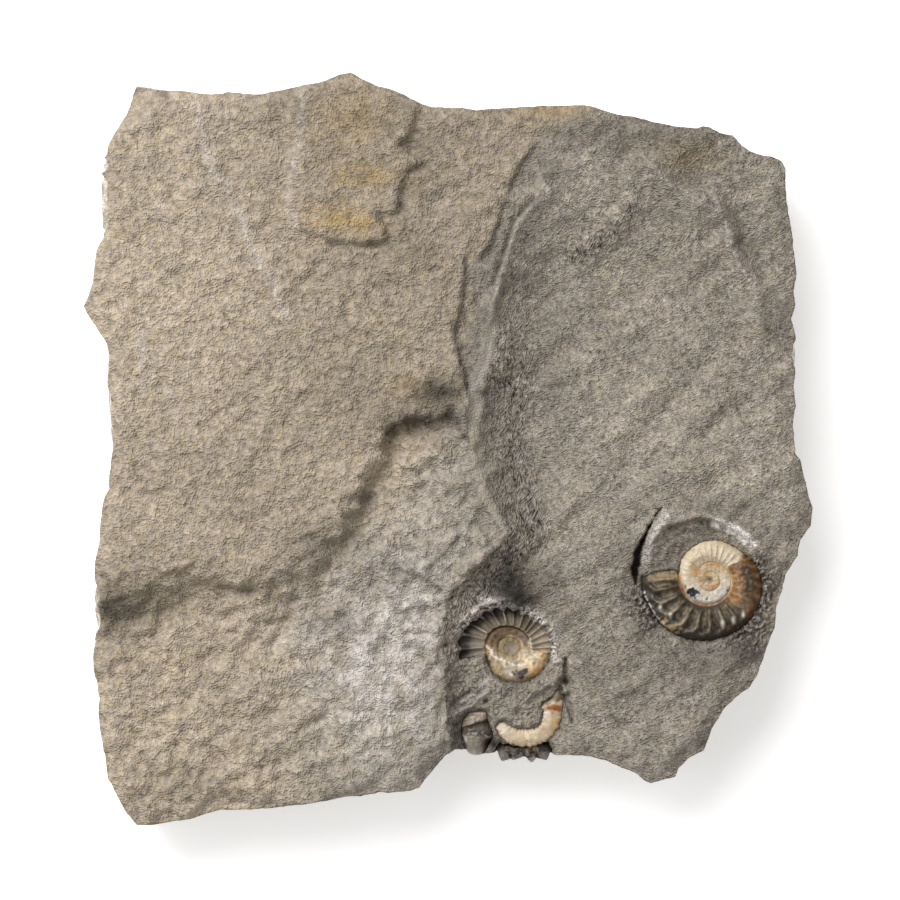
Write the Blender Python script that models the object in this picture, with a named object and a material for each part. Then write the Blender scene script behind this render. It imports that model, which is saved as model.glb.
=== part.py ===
"""Ammonite cluster plate: a slab of limestone with four small ribbed ammonites prepared out of it.

The slab lies flat with its fossil face up. Its outline and the lines of its relief are given as places
in the photograph, 900 pixels square, and turned into metres by one scale, the slab's real width.
Heights are real sizes above the flat underside. The origin is the bottom centre of the slab's box.
"""

import math

import bmesh
import bpy
import numpy as np
from mathutils import Vector, noise

SLAB_WIDTH = 0.219
OUTLINE_LEFT_PX = 84
OUTLINE_RIGHT_PX = 814
MIDDLE_PX = (449.0, 449.5)
PX = SLAB_WIDTH / (OUTLINE_RIGHT_PX - OUTLINE_LEFT_PX)
MM = 0.001
GAP = 0.35 * MM

# Heights of the rock above its underside
PLATEAU = 37.5 * MM
LOW_GROUND = 31.0 * MM
RIGHT_FLOOR = 27.5 * MM
ARCH_RISE = 11.0 * MM

# The slab's lattice
CELLS = 44
WALL_ROWS = 4

TOP_EDGE = [
    (137, 86), (160, 90), (185, 91), (203, 94), (229, 92), (262, 94), (304, 85), (339, 75), (351, 73),
    (375, 85), (406, 95), (431, 107), (476, 110), (510, 108), (538, 106), (583, 105), (611, 113),
    (636, 117), (656, 122), (697, 128), (709, 127), (721, 133), (733, 135), (742, 145), (750, 151),
    (782, 160),
]
RIGHT_EDGE = [
    (782, 160), (786, 180), (790, 216), (798, 272), (795, 290), (797, 304), (793, 319), (798, 337),
    (797, 370), (797, 406), (794, 422), (797, 454), (806, 478), (814, 508), (812, 526), (802, 540),
    (799, 556), (787, 575), (784, 591), (776, 628), (759, 674), (751, 688),
]
BOTTOM_EDGE = [
    (751, 688), (737, 698), (716, 725), (705, 751), (689, 760), (676, 778), (652, 785), (637, 775),
    (606, 762), (574, 757), (552, 756), (528, 752), (506, 755), (497, 754), (466, 751), (445, 757),
    (429, 776), (419, 789), (396, 794), (364, 797), (326, 802), (276, 809), (220, 811), (189, 821),
    (153, 826), (136, 826), (125, 815),
]
LEFT_EDGE = [
    (125, 815), (115, 794), (107, 780), (100, 737), (98, 699), (92, 657), (95, 628), (93, 586),
    (95, 561), (103, 501), (109, 480), (112, 454), (107, 390), (109, 355), (107, 344), (84, 306),
    (93, 281), (95, 260), (102, 234), (100, 186), (106, 150), (119, 126), (129, 109), (133, 95),
    (137, 86),
]

# The step down from the high ground, left to right
SCARP = [
    (60, 604), (102, 602), (126, 584), (159, 575), (187, 562), (226, 566), (250, 573), (294, 558),
    (312, 544), (336, 516), (355, 495), (371, 455), (381, 434), (396, 418), (420, 413), (444, 415),
    (468, 398),
]
# The sharp ridge from the top edge down to the group of ammonites, and its branch round them
CREST = [
    (575, 90), (555, 160), (538, 202), (521, 226), (510, 251), (498, 283), (488, 340), (472, 387),
    (471, 420), (478, 476), (485, 500), (507, 533), (476, 565), (446, 595), (440, 640), (443, 700),
    (452, 775),
]
CREST_LOW_START = 7
# The raised flake near the top edge
FLAKE = [
    (300, 88), (360, 80), (417, 106), (409, 139), (399, 147), (424, 164), (406, 172), (396, 214),
    (377, 213), (388, 241), (364, 244), (328, 241), (300, 230), (289, 203), (289, 180), (300, 144),
]
# Edges of lower steps: (line, drop, width), the ground falling to the right of the way it runs
UPPER_CRACK = [(466, 240), (465, 280), (462, 305), (456, 340), (462, 364), (468, 400)]
FOLD_STEP = [(560, 268), (598, 249), (618, 233), (634, 213), (660, 197)]
FOLD_CREST = [
    (644, 167), (690, 195), (715, 210), (728, 226), (731, 249), (744, 267), (756, 290), (759, 323),
]
POCKET_RIM = [(660, 545), (674, 524), (703, 518), (727, 523), (747, 535), (760, 550)]

# The four ammonites: centre, radius at the broken end, and the direction of that end in degrees
LARGE_CENTRE = (711, 580)
LARGE_RADIUS = 69 * PX
LARGE_END = 174
MIDDLE_CENTRE = (510, 650)
MIDDLE_RADIUS = 51 * PX
MIDDLE_END = 192
ARC_CENTRE = (521, 709)
FRAGMENT_CENTRE = (477, 736)
# The crystals under the third ammonite (centre, radius), and the notch that they sit in
LUMPS = [((504, 754), 8.4), ((517, 757), 9.0), ((531, 757), 9.4), ((544, 754), 8.6)]
LUMP_NOTCH = [(493, 790), (494, 747), (500, 744), (512, 747), (522, 747), (536, 746), (549, 743),
              (555, 748), (556, 790)]


def place(px):
    """A place in the photograph as metres from the slab's middle."""
    x, y = px
    return ((x - MIDDLE_PX[0]) * PX, (MIDDLE_PX[1] - y) * PX)


def line(points):
    return np.array([place(p) for p in points])


def smooth(t):
    t = np.clip(t, 0.0, 1.0)
    return t * t * (3.0 - 2.0 * t)


def distance(points, x, y, closed=False):
    """Distance from each place to a line, how far along it that is (0 to 1), and the nearest place."""
    pts = line(points)
    ends = np.roll(pts, -1, axis=0) if closed else pts[1:]
    starts = pts if closed else pts[:-1]
    best = np.full(np.shape(x), 1e9)
    along = np.zeros(np.shape(x))
    near = np.zeros((2,) + np.shape(x))
    for i, (a, b) in enumerate(zip(starts, ends)):
        way = b - a
        t = np.clip(((x - a[0]) * way[0] + (y - a[1]) * way[1]) / (way @ way), 0.0, 1.0)
        nx, ny = a[0] + t * way[0], a[1] + t * way[1]
        d = np.hypot(x - nx, y - ny)
        closer = d < best
        best = np.where(closer, d, best)
        along = np.where(closer, (i + t) / len(starts), along)
        near[0] = np.where(closer, nx, near[0])
        near[1] = np.where(closer, ny, near[1])
    return best, along, near


def inside(points, x, y):
    """True where a place is inside the closed outline."""
    pts = line(points)
    within = np.zeros(np.shape(x), dtype=bool)
    for a, b in zip(pts, np.roll(pts, -1, axis=0)):
        crosses = (a[1] > y) != (b[1] > y)
        rise = b[1] - a[1] if b[1] != a[1] else 1e-12
        within ^= crosses & (x < a[0] + (y - a[1]) / rise * (b[0] - a[0]))
    return within


def rough(x, y, size, seed):
    """Soft lumps of about the given size, between -1 and 1."""
    flat = [noise.noise(Vector((a / size, b / size, seed))) for a, b in zip(np.ravel(x), np.ravel(y))]
    return np.reshape(flat, np.shape(x))


def spiral_radius(turns_back, end_radius, growth, oval):
    """Radius of a whorl's outer edge, a log spiral slightly out of round."""
    return end_radius * growth ** (-turns_back) * (1.0 + oval * np.sin(np.pi * turns_back) ** 2)


def relief(x, y):
    """Height of the rock's top above the underside."""
    px = x / PX + MIDDLE_PX[0]
    py = MIDDLE_PX[1] - y / PX

    # High ground, with two low terraces before the crest
    high = PLATEAU + 0.6 * MM * rough(x, y, 34 * MM, 3.1)
    d, along, near = distance(UPPER_CRACK, x, y)
    beyond = smooth((x - near[0]) / (3 * MM)) * smooth((py - 225) / 60)
    high -= 1.6 * MM * beyond
    d, along, near = distance(FLAKE, x, y, closed=True)
    on_flake = np.where(inside(FLAKE, x, y), d, -d)
    high += 1.3 * MM * smooth(0.5 + on_flake / (3 * MM))

    # Low ground at the lower left, climbing to the crest
    low = LOW_GROUND + 1.0 * MM * rough(x, y, 30 * MM, 7.7)
    low -= 1.5 * MM * smooth((py - 640) / 180)
    d_crest, along_crest, near_crest = distance(CREST, x, y)
    climb = smooth(1.0 - d_crest / (22 * MM)) * smooth((py - 400) / 40) * smooth((640 - py) / 90)
    low += 3.2 * MM * climb

    # Scarp between them, wide at the left and steep in the middle of the slab
    d, along, near = distance(SCARP, x, y)
    high_side = SCARP + CREST[CREST_LOW_START::-1] + [(575, 20), (20, 20), (20, 604)]
    below = np.where(inside(high_side, x, y), -d, d)
    width = np.interp(px, [100, 190, 240, 300, 400, 450], [14, 12, 5, 6, 5, 4]) * MM
    left = high + (low - high) * smooth(below / width)
    hollow = np.exp(-(((px - 430) / 26) ** 2) - ((py - 423) / 9) ** 2)
    left -= 2.2 * MM * hollow

    # Right floor, deepest under the crest, with its diagonal folds
    right = RIGHT_FLOOR + 7.5 * MM * (1.0 - smooth((py - 110) / 200))
    right += 2.2 * MM * smooth((px - 560) / 170)
    right += 0.8 * MM * rough(x + y * 0.4, y * 0.8, 26 * MM, 11.3)
    d, along, near = distance(FOLD_STEP, x, y)
    over = np.where((y - near[1]) - (x - near[0]) > 0, d, -d)
    right += 1.8 * MM * smooth(0.5 + over / (9 * MM)) * smooth(1.0 - d / (32 * MM))
    d, along, near = distance(FOLD_CREST, x, y)
    right += 2.0 * MM * np.exp(-((d / (6 * MM)) ** 2))
    beyond = (x - near[0]) + (y - near[1]) > 0
    right -= 1.2 * MM * smooth(d / (6 * MM)) * beyond
    dip = np.exp(-(((px - 690) / 20) ** 2) - ((py - 160) / 18) ** 2)
    right -= 1.3 * MM * dip

    # Pockets: the large ammonite's bowl and rim, and the low ground of the group
    gx, gy = place(LARGE_CENTRE)
    from_large = np.hypot(x - gx, y - gy)
    right -= 2.0 * MM * smooth((27 * MM - from_large) / (8 * MM))
    d, along, near = distance(POCKET_RIM, x, y)
    right += 2.2 * MM * np.exp(-((d / (3.5 * MM)) ** 2))
    gx, gy = place((508, 690))
    from_group = np.hypot((x - gx) * 1.25, y - gy)
    right -= 2.0 * MM * smooth((30 * MM - from_group) / (10 * MM))

    # The crest: left ground to its line, then down to the right floor
    left_side = CREST + [(452, 900), (20, 900), (20, 20), (575, 20)]
    past = np.where(inside(left_side, x, y), -d_crest, d_crest)
    slope = np.interp(py, [120, 200, 300, 540, 600, 760], [10, 13, 15, 13, 9, 6]) * MM
    fall = 1.0 - (1.0 - np.clip(past / slope, 0.0, 1.0)) ** 2
    top = left + (right - left) * fall
    top += 0.9 * MM * np.exp(-((past / (2.5 * MM)) ** 2)) * smooth((640 - py) / 60)

    # Edges broken down a little all round
    d_edge, along, near = distance(EDGE, x, y, closed=True)
    chip = 1.0 + 0.5 * rough(x, y, 12 * MM, 21.0)
    return top - 1.6 * MM * chip * smooth(1.0 - d_edge / (4.5 * MM))


EDGE = TOP_EDGE[:-1] + RIGHT_EDGE[:-1] + BOTTOM_EDGE[:-1] + LEFT_EDGE[:-1]


def side_points(points, cells):
    """The side as cells + 1 places: every given point, the longest stretches divided further."""
    pts = line(points)
    lengths = np.hypot(*(pts[1:] - pts[:-1]).T)
    parts = np.ones(len(lengths), dtype=int)
    while parts.sum() < cells:
        parts[np.argmax(lengths / parts)] += 1
    placed = [pts[0]]
    for a, b, n in zip(pts[:-1], pts[1:], parts):
        placed += [a + (b - a) * (k + 1) / n for k in range(n)]
    return np.array(placed)


def slab_places(cells):
    """Places of the lattice, [column, row], stretched between the four sides."""
    top = side_points(TOP_EDGE, cells)
    right = side_points(RIGHT_EDGE, cells)[::-1]
    bottom = side_points(BOTTOM_EDGE, cells)[::-1]
    left = side_points(LEFT_EDGE, cells)
    u = np.linspace(0, 1, cells + 1)[:, None, None]
    v = np.linspace(0, 1, cells + 1)[None, :, None]
    across = (1 - v) * bottom[:, None] + v * top[:, None]
    up = (1 - u) * left[None] + u * right[None]
    corners = (1 - u) * ((1 - v) * bottom[0] + v * top[0]) + u * ((1 - v) * bottom[-1] + v * top[-1])
    return across + up - corners


def new_object(name, bm, material, group):
    mesh = bpy.data.meshes.new(name)
    bm.normal_update()
    bm.to_mesh(mesh)
    bm.free()
    made = bpy.data.objects.new(name, mesh)
    if material:
        mesh.materials.append(material)
    group.objects.link(made)
    return made


def stone(name, colour, roughness):
    material = bpy.data.materials.new(name)
    material.use_nodes = True
    shader = material.node_tree.nodes["Principled BSDF"]
    shader.inputs["Base Color"].default_value = (*colour, 1.0)
    shader.inputs["Roughness"].default_value = roughness
    shader.inputs["Metallic"].default_value = 0.0
    material.diffuse_color = (*colour, 1.0)
    return material


def snap_to_ridges(places):
    """Moves inner lattice places that are near a sharp line onto it, and says which ones moved."""
    x, y = places[..., 0], places[..., 1]
    on_line = np.zeros(x.shape, dtype=int)
    reach = 0.46 * SLAB_WIDTH / CELLS
    for number, points in enumerate((CREST, SCARP), start=1):
        d, along, near = distance(points, x, y)
        close = (d < reach) & (on_line == 0)
        close[0] = close[-1] = False
        close[:, 0] = close[:, -1] = False
        x[close], y[close] = near[0][close], near[1][close]
        on_line[close] = number
    return on_line


def make_slab(group, material):
    """Top from a grid stretched to the outline, broken sides and underside extruded from its rim."""
    places = slab_places(CELLS)
    on_line = snap_to_ridges(places)
    heights = relief(places[..., 0], places[..., 1])

    bm = bmesh.new()
    bmesh.ops.create_grid(bm, x_segments=CELLS, y_segments=CELLS, size=0.5)
    marked = {}
    for vert in bm.verts:
        i = round((vert.co.x + 0.5) * CELLS)
        j = round((vert.co.y + 0.5) * CELLS)
        vert.co = (places[i, j, 0], places[i, j, 1], heights[i, j])
        marked[vert] = on_line[i, j]
    for face in list(bm.faces):
        a, b, c, d = face.verts
        if marked[a] and marked[a] == marked[c]:
            bmesh.utils.face_split(face, a, c)
        elif marked[b] and marked[b] == marked[d]:
            bmesh.utils.face_split(face, b, d)
    bmesh.ops.triangulate(bm, faces=bm.faces[:], quad_method="BEAUTY")

    edges = [e for e in bm.edges if e.is_boundary]
    rim = {v: v.co.copy() for e in edges for v in e.verts}
    origin = dict((v, v) for v in rim)
    for row in range(1, WALL_ROWS + 1):
        made = bmesh.ops.extrude_edge_only(bm, edges=edges)["geom"]
        fresh = [g for g in made if isinstance(g, bmesh.types.BMVert)]
        edges = [g for g in made if isinstance(g, bmesh.types.BMEdge) and g.is_boundary]
        above = {tuple(v.co): origin[v] for v in origin}
        origin = {v: above[tuple(v.co)] for v in fresh}
        for vert, start in origin.items():
            vert.co = wall_place(rim[start], row)
    bmesh.ops.contextual_create(bm, geom=edges)
    bmesh.ops.recalc_face_normals(bm, faces=bm.faces[:])
    return new_object("matrix_slab", bm, material, group)


def wall_place(rim, row):
    """Where the side below a rim point is at each row; the underside arches up at the lower middle."""
    px = rim.x / PX + MIDDLE_PX[0]
    arch = math.exp(-(((px - 533) / 78) ** 2)) if rim.y < place((0, 700))[1] else 0.0
    uneven = smooth(0.5 + 0.9 * noise.noise(Vector((rim.x, rim.y, row * 0.02)) / 0.021))
    foot = 1.6 * MM + arch * ARCH_RISE
    depth = {
        1: (rim.z * (0.84 - 0.16 * uneven), 0.1 + 1.6 * uneven),
        2: (max(rim.z * 0.42, foot + 4 * MM), 0.4 + 4.2 * uneven),
        3: (foot, 1.6 + 4.0 * uneven + 2.0 * arch),
        4: (0.0, 6.0 + 2.5 * uneven + 17.0 * arch),
    }
    z, inward = depth[row]
    away = Vector((rim.x, rim.y))
    away *= 1.0 - inward * MM / away.length
    return Vector((away.x, away.y, z))


def spiral_lattice(centre, radius, growth, oval, end, sign, turns, ribs, across, shape):
    """Places on a coiled shell's upper face.

    Stations run along the coil, two to a rib, from turns back to the broken end. shape gives the
    height at each place from its share of the whorl, the whorl's radius, its rib and turns back.
    """
    per_turn = 2 * ribs
    stations = round(turns * per_turn)
    cx, cy = place(centre)
    rows = []
    for s in range(stations + 1):
        row = []
        for u in across:
            bend = 0.8 / ribs * math.sin(math.pi * u)
            back = (stations - s) / per_turn - bend
            angle = math.radians(end) - sign * back * 2 * math.pi
            outer = spiral_radius(back, radius, growth, oval)
            inner = spiral_radius(back + 1.0, radius, growth, oval)
            r = inner + u * (outer - inner)
            z = shape(u, outer, s % 2, back)
            row.append((cx + r * math.cos(angle), cy + r * math.sin(angle), z))
        rows.append(row)
    return rows, per_turn


def make_coil(name, group, material, lattice, per_turn, hub, floor):
    """A closed solid from a spiral lattice: coiled top face, hub at the middle, wall and flat floor."""
    rows = lattice
    last = len(rows) - 1
    steps = len(rows[0]) - 1
    bm = bmesh.new()
    verts = {}

    def vert(s, k):
        if k == steps and s + per_turn <= last:
            return vert(s + per_turn, 0)
        if (s, k) not in verts:
            verts[s, k] = bm.verts.new(rows[s][k])
        return verts[s, k]

    for s in range(last):
        for k in range(steps):
            bm.faces.new((vert(s, k), vert(s + 1, k), vert(s + 1, k + 1), vert(s, k + 1)))
    middle = bm.verts.new(hub)
    start = [vert(s, 0) for s in range(per_turn + 1)] + [vert(0, k) for k in range(steps - 1, 0, -1)]
    for a, b in zip(start, start[1:] + start[:1]):
        bm.faces.new((b, a, middle))
    bmesh.ops.triangulate(bm, faces=[f for f in bm.faces if len(f.verts) > 3])
    edges = [e for e in bm.edges if e.is_boundary]
    made = bmesh.ops.extrude_edge_only(bm, edges=edges)["geom"]
    for g in made:
        if isinstance(g, bmesh.types.BMVert):
            g.co.z = floor
    bmesh.ops.contextual_create(bm, geom=[g for g in made if isinstance(g, bmesh.types.BMEdge)
                                          and g.is_boundary])
    bmesh.ops.recalc_face_normals(bm, faces=bm.faces[:])
    return new_object(name, bm, material, group)


def rim_of(lattice, per_turn):
    """The coil's outline seen from above: the last whorl's outer edge and the broken end."""
    last = len(lattice) - 1
    steps = len(lattice[0]) - 1
    outer = [lattice[s][steps] for s in range(last - per_turn, last + 1)]
    return [p[:2] for p in outer] + [lattice[last][k][:2] for k in range(steps - 1, 0, -1)]


def grown(outline, by):
    """The outline moved outwards by the given distance, as corners."""
    pts = np.array(outline)
    area = np.sum(pts[:, 0] * np.roll(pts[:, 1], -1) - np.roll(pts[:, 0], -1) * pts[:, 1])
    before = pts - np.roll(pts, 1, axis=0)
    after = np.roll(pts, -1, axis=0) - pts
    before /= np.hypot(*before.T)[:, None]
    after /= np.hypot(*after.T)[:, None]
    way = before + after
    way /= np.hypot(*way.T)[:, None]
    turned = np.stack([way[:, 1], -way[:, 0]], axis=1) * np.sign(area)
    spread = np.clip(np.sum(way * before, axis=1), 0.6, 1.0)[:, None]
    return pts + turned * by / spread


def make_prism(name, group, outline, bottom, top):
    """A straight-sided solid over an outline, used to cut a pocket."""
    bm = bmesh.new()
    face = bm.faces.new([bm.verts.new((p[0], p[1], bottom)) for p in outline])
    made = bmesh.ops.extrude_face_region(bm, geom=[face])["geom"]
    for g in made:
        if isinstance(g, bmesh.types.BMVert):
            g.co.z = top
    bmesh.ops.recalc_face_normals(bm, faces=bm.faces[:])
    return as_tool(new_object(name, bm, None, group))


def as_tool(made):
    made.hide_render = True
    made.display_type = "WIRE"
    return made


def boolean(target, tool, operation):
    modifier = target.modifiers.new(tool.name, "BOOLEAN")
    modifier.operation = operation
    modifier.solver = "EXACT"
    modifier.object = tool


# Shares of a whorl's width where the coil has points, and its section there
ACROSS = (0.0, 0.13, 0.42, 0.76, 1.0)
SECTION = (0.11, 0.72, 1.0, 0.80, 0.25)


def large_shape(u, outer, on_rib, back):
    """Ribbed whorls, thicker outwards, above the ammonite's middle plane."""
    level = np.interp(u, ACROSS, SECTION) * 0.29 * outer
    rib = 0.045 * outer * math.sin(math.pi * u) if on_rib else 0.0
    return 24.0 * MM + level + rib


def middle_shape(u, outer, on_rib, back):
    """Rounded inner whorls; over the last half turn the shell is a hollow mould with thin ridges."""
    level = np.interp(u, ACROSS, SECTION) * 0.30 * outer
    rib = 0.05 * outer * math.sin(math.pi * u) if on_rib else 0.0
    mould = smooth((0.56 - back) / 0.06)
    dish = outer * (0.10 + 0.22 * (u - 0.35) ** 2 / 0.42 + (0.06 if on_rib else 0.0))
    return 21.0 * MM + (level + rib) * (1.0 - mould) + dish * mould


def make_large(group, tools, material, slab):
    lattice, per_turn = spiral_lattice(
        LARGE_CENTRE, LARGE_RADIUS, 2.25, 0.09, LARGE_END, -1, 2.4, 30, ACROSS, large_shape)
    hub = (*place(LARGE_CENTRE), 24.6 * MM)
    floor = 20.0 * MM
    outline = grown(rim_of(lattice, per_turn), GAP)
    boolean(slab, make_prism("large_pocket", tools, outline, floor - GAP, 60 * MM), "DIFFERENCE")
    return make_coil("ammonite_large", group, material, lattice, per_turn, hub, floor)


def make_middle(group, tools, material, slab):
    lattice, per_turn = spiral_lattice(
        MIDDLE_CENTRE, MIDDLE_RADIUS, 1.87, 0.05, MIDDLE_END, 1, 1.9, 19, ACROSS, middle_shape)
    hub = (*place(MIDDLE_CENTRE), 22.4 * MM)
    floor = 18.0 * MM
    outline = grown(rim_of(lattice, per_turn), GAP)
    boolean(slab, make_prism("middle_pocket", tools, outline, floor - GAP, 60 * MM), "DIFFERENCE")
    return make_coil("ammonite_middle", group, material, lattice, per_turn, hub, floor)


def arc_section(share, on_rib, floor):
    """The third ammonite's band at a share of its length: a half-round on straight sides."""
    inner = (20.5 + 3.5 * share) * PX
    outer = (30.0 + 12.0 * share ** 0.45) * PX
    angle = math.radians(219 + 168 * share)
    half = 0.5 * (outer - inner)
    cx, cy = place(ARC_CENTRE)
    profile = [(inner, floor)]
    for k in range(7):
        turn = math.pi * k / 6
        rib = 0.45 * MM * math.sin(turn) if on_rib else 0.0
        profile.append((inner + half - half * math.cos(turn), 23.8 * MM + half * math.sin(turn) + rib))
    profile.append((outer, floor))
    return [(cx + r * math.cos(angle), cy + r * math.sin(angle), z) for r, z in profile]


def make_arc(group, tools, material, slab):
    """A loft of the sections, ribbed, with a flat floor."""
    floor = 18.0 * MM
    stations = 16
    sections = [arc_section(k / stations, k % 2, floor) for k in range(stations + 1)]
    outline = [s[0][:2] for s in sections] + [s[-1][:2] for s in reversed(sections)]
    boolean(slab, make_prism("arc_pocket", tools, grown(outline, GAP), floor - GAP, 60 * MM), "DIFFERENCE")
    bm = bmesh.new()
    loops = [[bm.verts.new(p) for p in section] for section in sections]
    count = len(loops[0])
    for a, b in zip(loops[:-1], loops[1:]):
        for k in range(count):
            bm.faces.new((a[k], b[k], b[(k + 1) % count], a[(k + 1) % count]))
    bm.faces.new(loops[0][::-1])
    bm.faces.new(loops[-1])
    bmesh.ops.triangulate(bm, faces=bm.faces[:])
    bmesh.ops.recalc_face_normals(bm, faces=bm.faces[:])
    return new_object("ammonite_arc", bm, material, group)


def lobed(turn):
    """The fragment's outline, slightly three-sided."""
    return 1.0 + 0.10 * math.cos(3 * turn + 0.6)


def make_fragment(group, tools, material, slab):
    """A squashed ball with a lobed outline, half sunk in the rock."""
    wide, tall = 16.0 * PX, 20.5 * PX
    low, middle, high = 17.0 * MM, 23.0 * MM, 27.2 * MM
    cx, cy = place(FRAGMENT_CENTRE)
    bm = bmesh.new()
    bmesh.ops.create_icosphere(bm, subdivisions=3, radius=1.0)
    for vert in bm.verts:
        size = lobed(math.atan2(vert.co.y, vert.co.x))
        half = high - middle if vert.co.z > 0 else middle - low
        vert.co = (cx + vert.co.x * wide * size, cy + vert.co.y * tall * size, middle + vert.co.z * half)
    turns = np.linspace(0, 2 * math.pi, 24, endpoint=False)
    outline = [(cx + wide * lobed(t) * math.cos(t), cy + tall * lobed(t) * math.sin(t)) for t in turns]
    pocket = make_prism("fragment_pocket", tools, grown(outline, 1.4 * GAP), low - GAP, 60 * MM)
    boolean(slab, pocket, "DIFFERENCE")
    return new_object("ammonite_fragment", bm, material, group)


def make_lumps(group, tools, material, slab):
    """Crystals grown together, each an egg with flat faces, joined in one solid on the notch's floor."""
    floor = 16.0 * MM
    eggs = []
    for number, (centre, radius) in enumerate(LUMPS):
        bm = bmesh.new()
        bmesh.ops.create_icosphere(bm, subdivisions=2, radius=radius * PX)
        x, y = place(centre)
        top = (25.6 + 1.0 * (number % 2)) * MM
        for vert in bm.verts:
            vert.co.z = floor + (top - floor) * (0.5 + 0.5 * vert.co.z / (radius * PX))
            vert.co.x += x
            vert.co.y += y
        owner = tools if eggs else group
        eggs.append(new_object(f"lump_{number}" if eggs else "calcite_lumps", bm, material, owner))
    for egg in eggs[1:]:
        boolean(eggs[0], as_tool(egg), "UNION")
    outline = [place(p) for p in LUMP_NOTCH]
    boolean(slab, make_prism("lump_notch", tools, outline, floor - GAP, 60 * MM), "DIFFERENCE")
    return eggs[0]


def clear_scene():
    for old in list(bpy.data.objects):
        bpy.data.objects.remove(old, do_unlink=True)


def main():
    clear_scene()
    group = bpy.data.collections.new("ammonite_cluster_plate")
    tools = bpy.data.collections.new("cutters")
    for made in (group, tools):
        bpy.context.scene.collection.children.link(made)
    slab = make_slab(group, stone("limestone", (0.27, 0.24, 0.19), 0.95))
    make_large(group, tools, stone("brown_calcite", (0.30, 0.18, 0.09), 0.45), slab)
    make_middle(group, tools, stone("tan_calcite", (0.45, 0.33, 0.22), 0.5), slab)
    make_arc(group, tools, stone("cream_calcite", (0.62, 0.48, 0.33), 0.5), slab)
    make_fragment(group, tools, stone("grey_calcite", (0.33, 0.28, 0.25), 0.5), slab)
    make_lumps(group, tools, stone("amber_calcite", (0.33, 0.20, 0.10), 0.35), slab)


main()
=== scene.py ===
import math

import bmesh
import bpy
import numpy as np
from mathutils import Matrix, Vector, noise


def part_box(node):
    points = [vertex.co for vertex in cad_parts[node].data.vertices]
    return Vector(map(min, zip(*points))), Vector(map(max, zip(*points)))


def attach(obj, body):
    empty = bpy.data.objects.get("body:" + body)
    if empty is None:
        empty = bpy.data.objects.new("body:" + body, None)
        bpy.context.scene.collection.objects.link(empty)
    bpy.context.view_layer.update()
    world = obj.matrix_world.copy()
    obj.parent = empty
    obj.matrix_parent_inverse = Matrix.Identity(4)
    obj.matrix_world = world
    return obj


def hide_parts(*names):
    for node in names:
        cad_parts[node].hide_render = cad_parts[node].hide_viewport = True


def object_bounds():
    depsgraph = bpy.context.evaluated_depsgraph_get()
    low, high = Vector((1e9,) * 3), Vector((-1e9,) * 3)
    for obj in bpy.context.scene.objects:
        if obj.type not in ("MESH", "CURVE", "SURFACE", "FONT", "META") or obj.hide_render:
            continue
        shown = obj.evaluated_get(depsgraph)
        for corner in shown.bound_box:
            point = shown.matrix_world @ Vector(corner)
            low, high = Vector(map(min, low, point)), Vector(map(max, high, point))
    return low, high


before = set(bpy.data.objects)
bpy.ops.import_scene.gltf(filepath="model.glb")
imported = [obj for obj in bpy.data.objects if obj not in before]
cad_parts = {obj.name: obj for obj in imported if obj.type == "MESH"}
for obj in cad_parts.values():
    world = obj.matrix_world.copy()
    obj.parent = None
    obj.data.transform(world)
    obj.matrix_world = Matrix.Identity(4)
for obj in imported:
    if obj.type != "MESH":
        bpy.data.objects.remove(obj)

cad_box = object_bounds()

# Large ammonite: a calcite shell about 37 mm across, lying flat with its upper side dug free. Its last
# whorl is polished brown to black with narrow ribs, the one before it ivory, the middle orange rings.
# It was never loose: the rock closes round its lower half. Lengths are in millimetres, and places are
# pixels of the photograph, 900 square, which the slab's own width turns to millimetres.
MM = 0.001
OUTLINE_LEFT_PX = 84
OUTLINE_RIGHT_PX = 814
MIDDLE_PX = (449.0, 449.5)
slab_low, slab_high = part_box("matrix_slab")
PX = (slab_high[0] - slab_low[0]) / MM / (OUTLINE_RIGHT_PX - OUTLINE_LEFT_PX)
LARGE_CENTRE = (711.3, 579.5)
# Degrees round the coil, inwards from the mouth, and its outer radius in pixels
LARGE_REACH = [
    (174, 69), (192, 68.3), (205, 67), (222, 66.3), (240, 65.3), (257, 63.3), (275, 60.7), (300, 58.2),
    (318, 56.6), (340, 54), (360, 51), (377, 47.5), (392, 43.4), (410, 41), (450, 39.2), (495, 35.4),
    (540, 32.2), (585, 29.3), (630, 26.4), (675, 23.4), (720, 20.6), (752, 19.3),
]
LARGE_GROWTH = 2.25
LARGE_END = 174
LARGE_TURNS = 2.9
LARGE_PER_TURN = 360
LARGE_COLUMNS = 31
LARGE_PLANE = 24.0
LARGE_FLOOR = 20.0
LARGE_RIBS = [166, 180, 191.5, 206, 220.5, 237, 251.5, 267, 284, 299.5, 313.5, 328, 342, 355, 367, 379]
LARGE_RIBS += [391 + 11.3 * k for k in range(90)]
IVORY_FROM = 0.603
IVORY_TO = 1.58


def place(px):
    """A place in the photograph as millimetres from the slab's middle."""
    return ((px[0] - MIDDLE_PX[0]) * PX, (MIDDLE_PX[1] - px[1]) * PX)


def in_picture(x, y):
    """Where places on the slab are in the photograph."""
    return x / PX + MIDDLE_PX[0], MIDDLE_PX[1] - y / PX


def away_from(centre, x, y, stretch=1.0):
    """Distance from a place in the photograph."""
    cx, cy = place(centre)
    return np.hypot((x - cx) * stretch, y - cy)


def smooth(t):
    """A soft step from 0 to 1."""
    t = np.clip(t, 0.0, 1.0)
    return t * t * (3.0 - 2.0 * t)


def ramp(value, start, width):
    """A soft step up from a start, or down past it where the width is negative."""
    return smooth((value - start) / width)


def window(value, low, rise, high, fall):
    """1 between a low and a high end, with a soft step inside each."""
    return ramp(value, low, rise) * ramp(value, high, -fall)


def hump(d, width):
    """A soft hump of height 1, from the distance to its middle."""
    return np.exp(-((d / width) ** 2))


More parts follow.
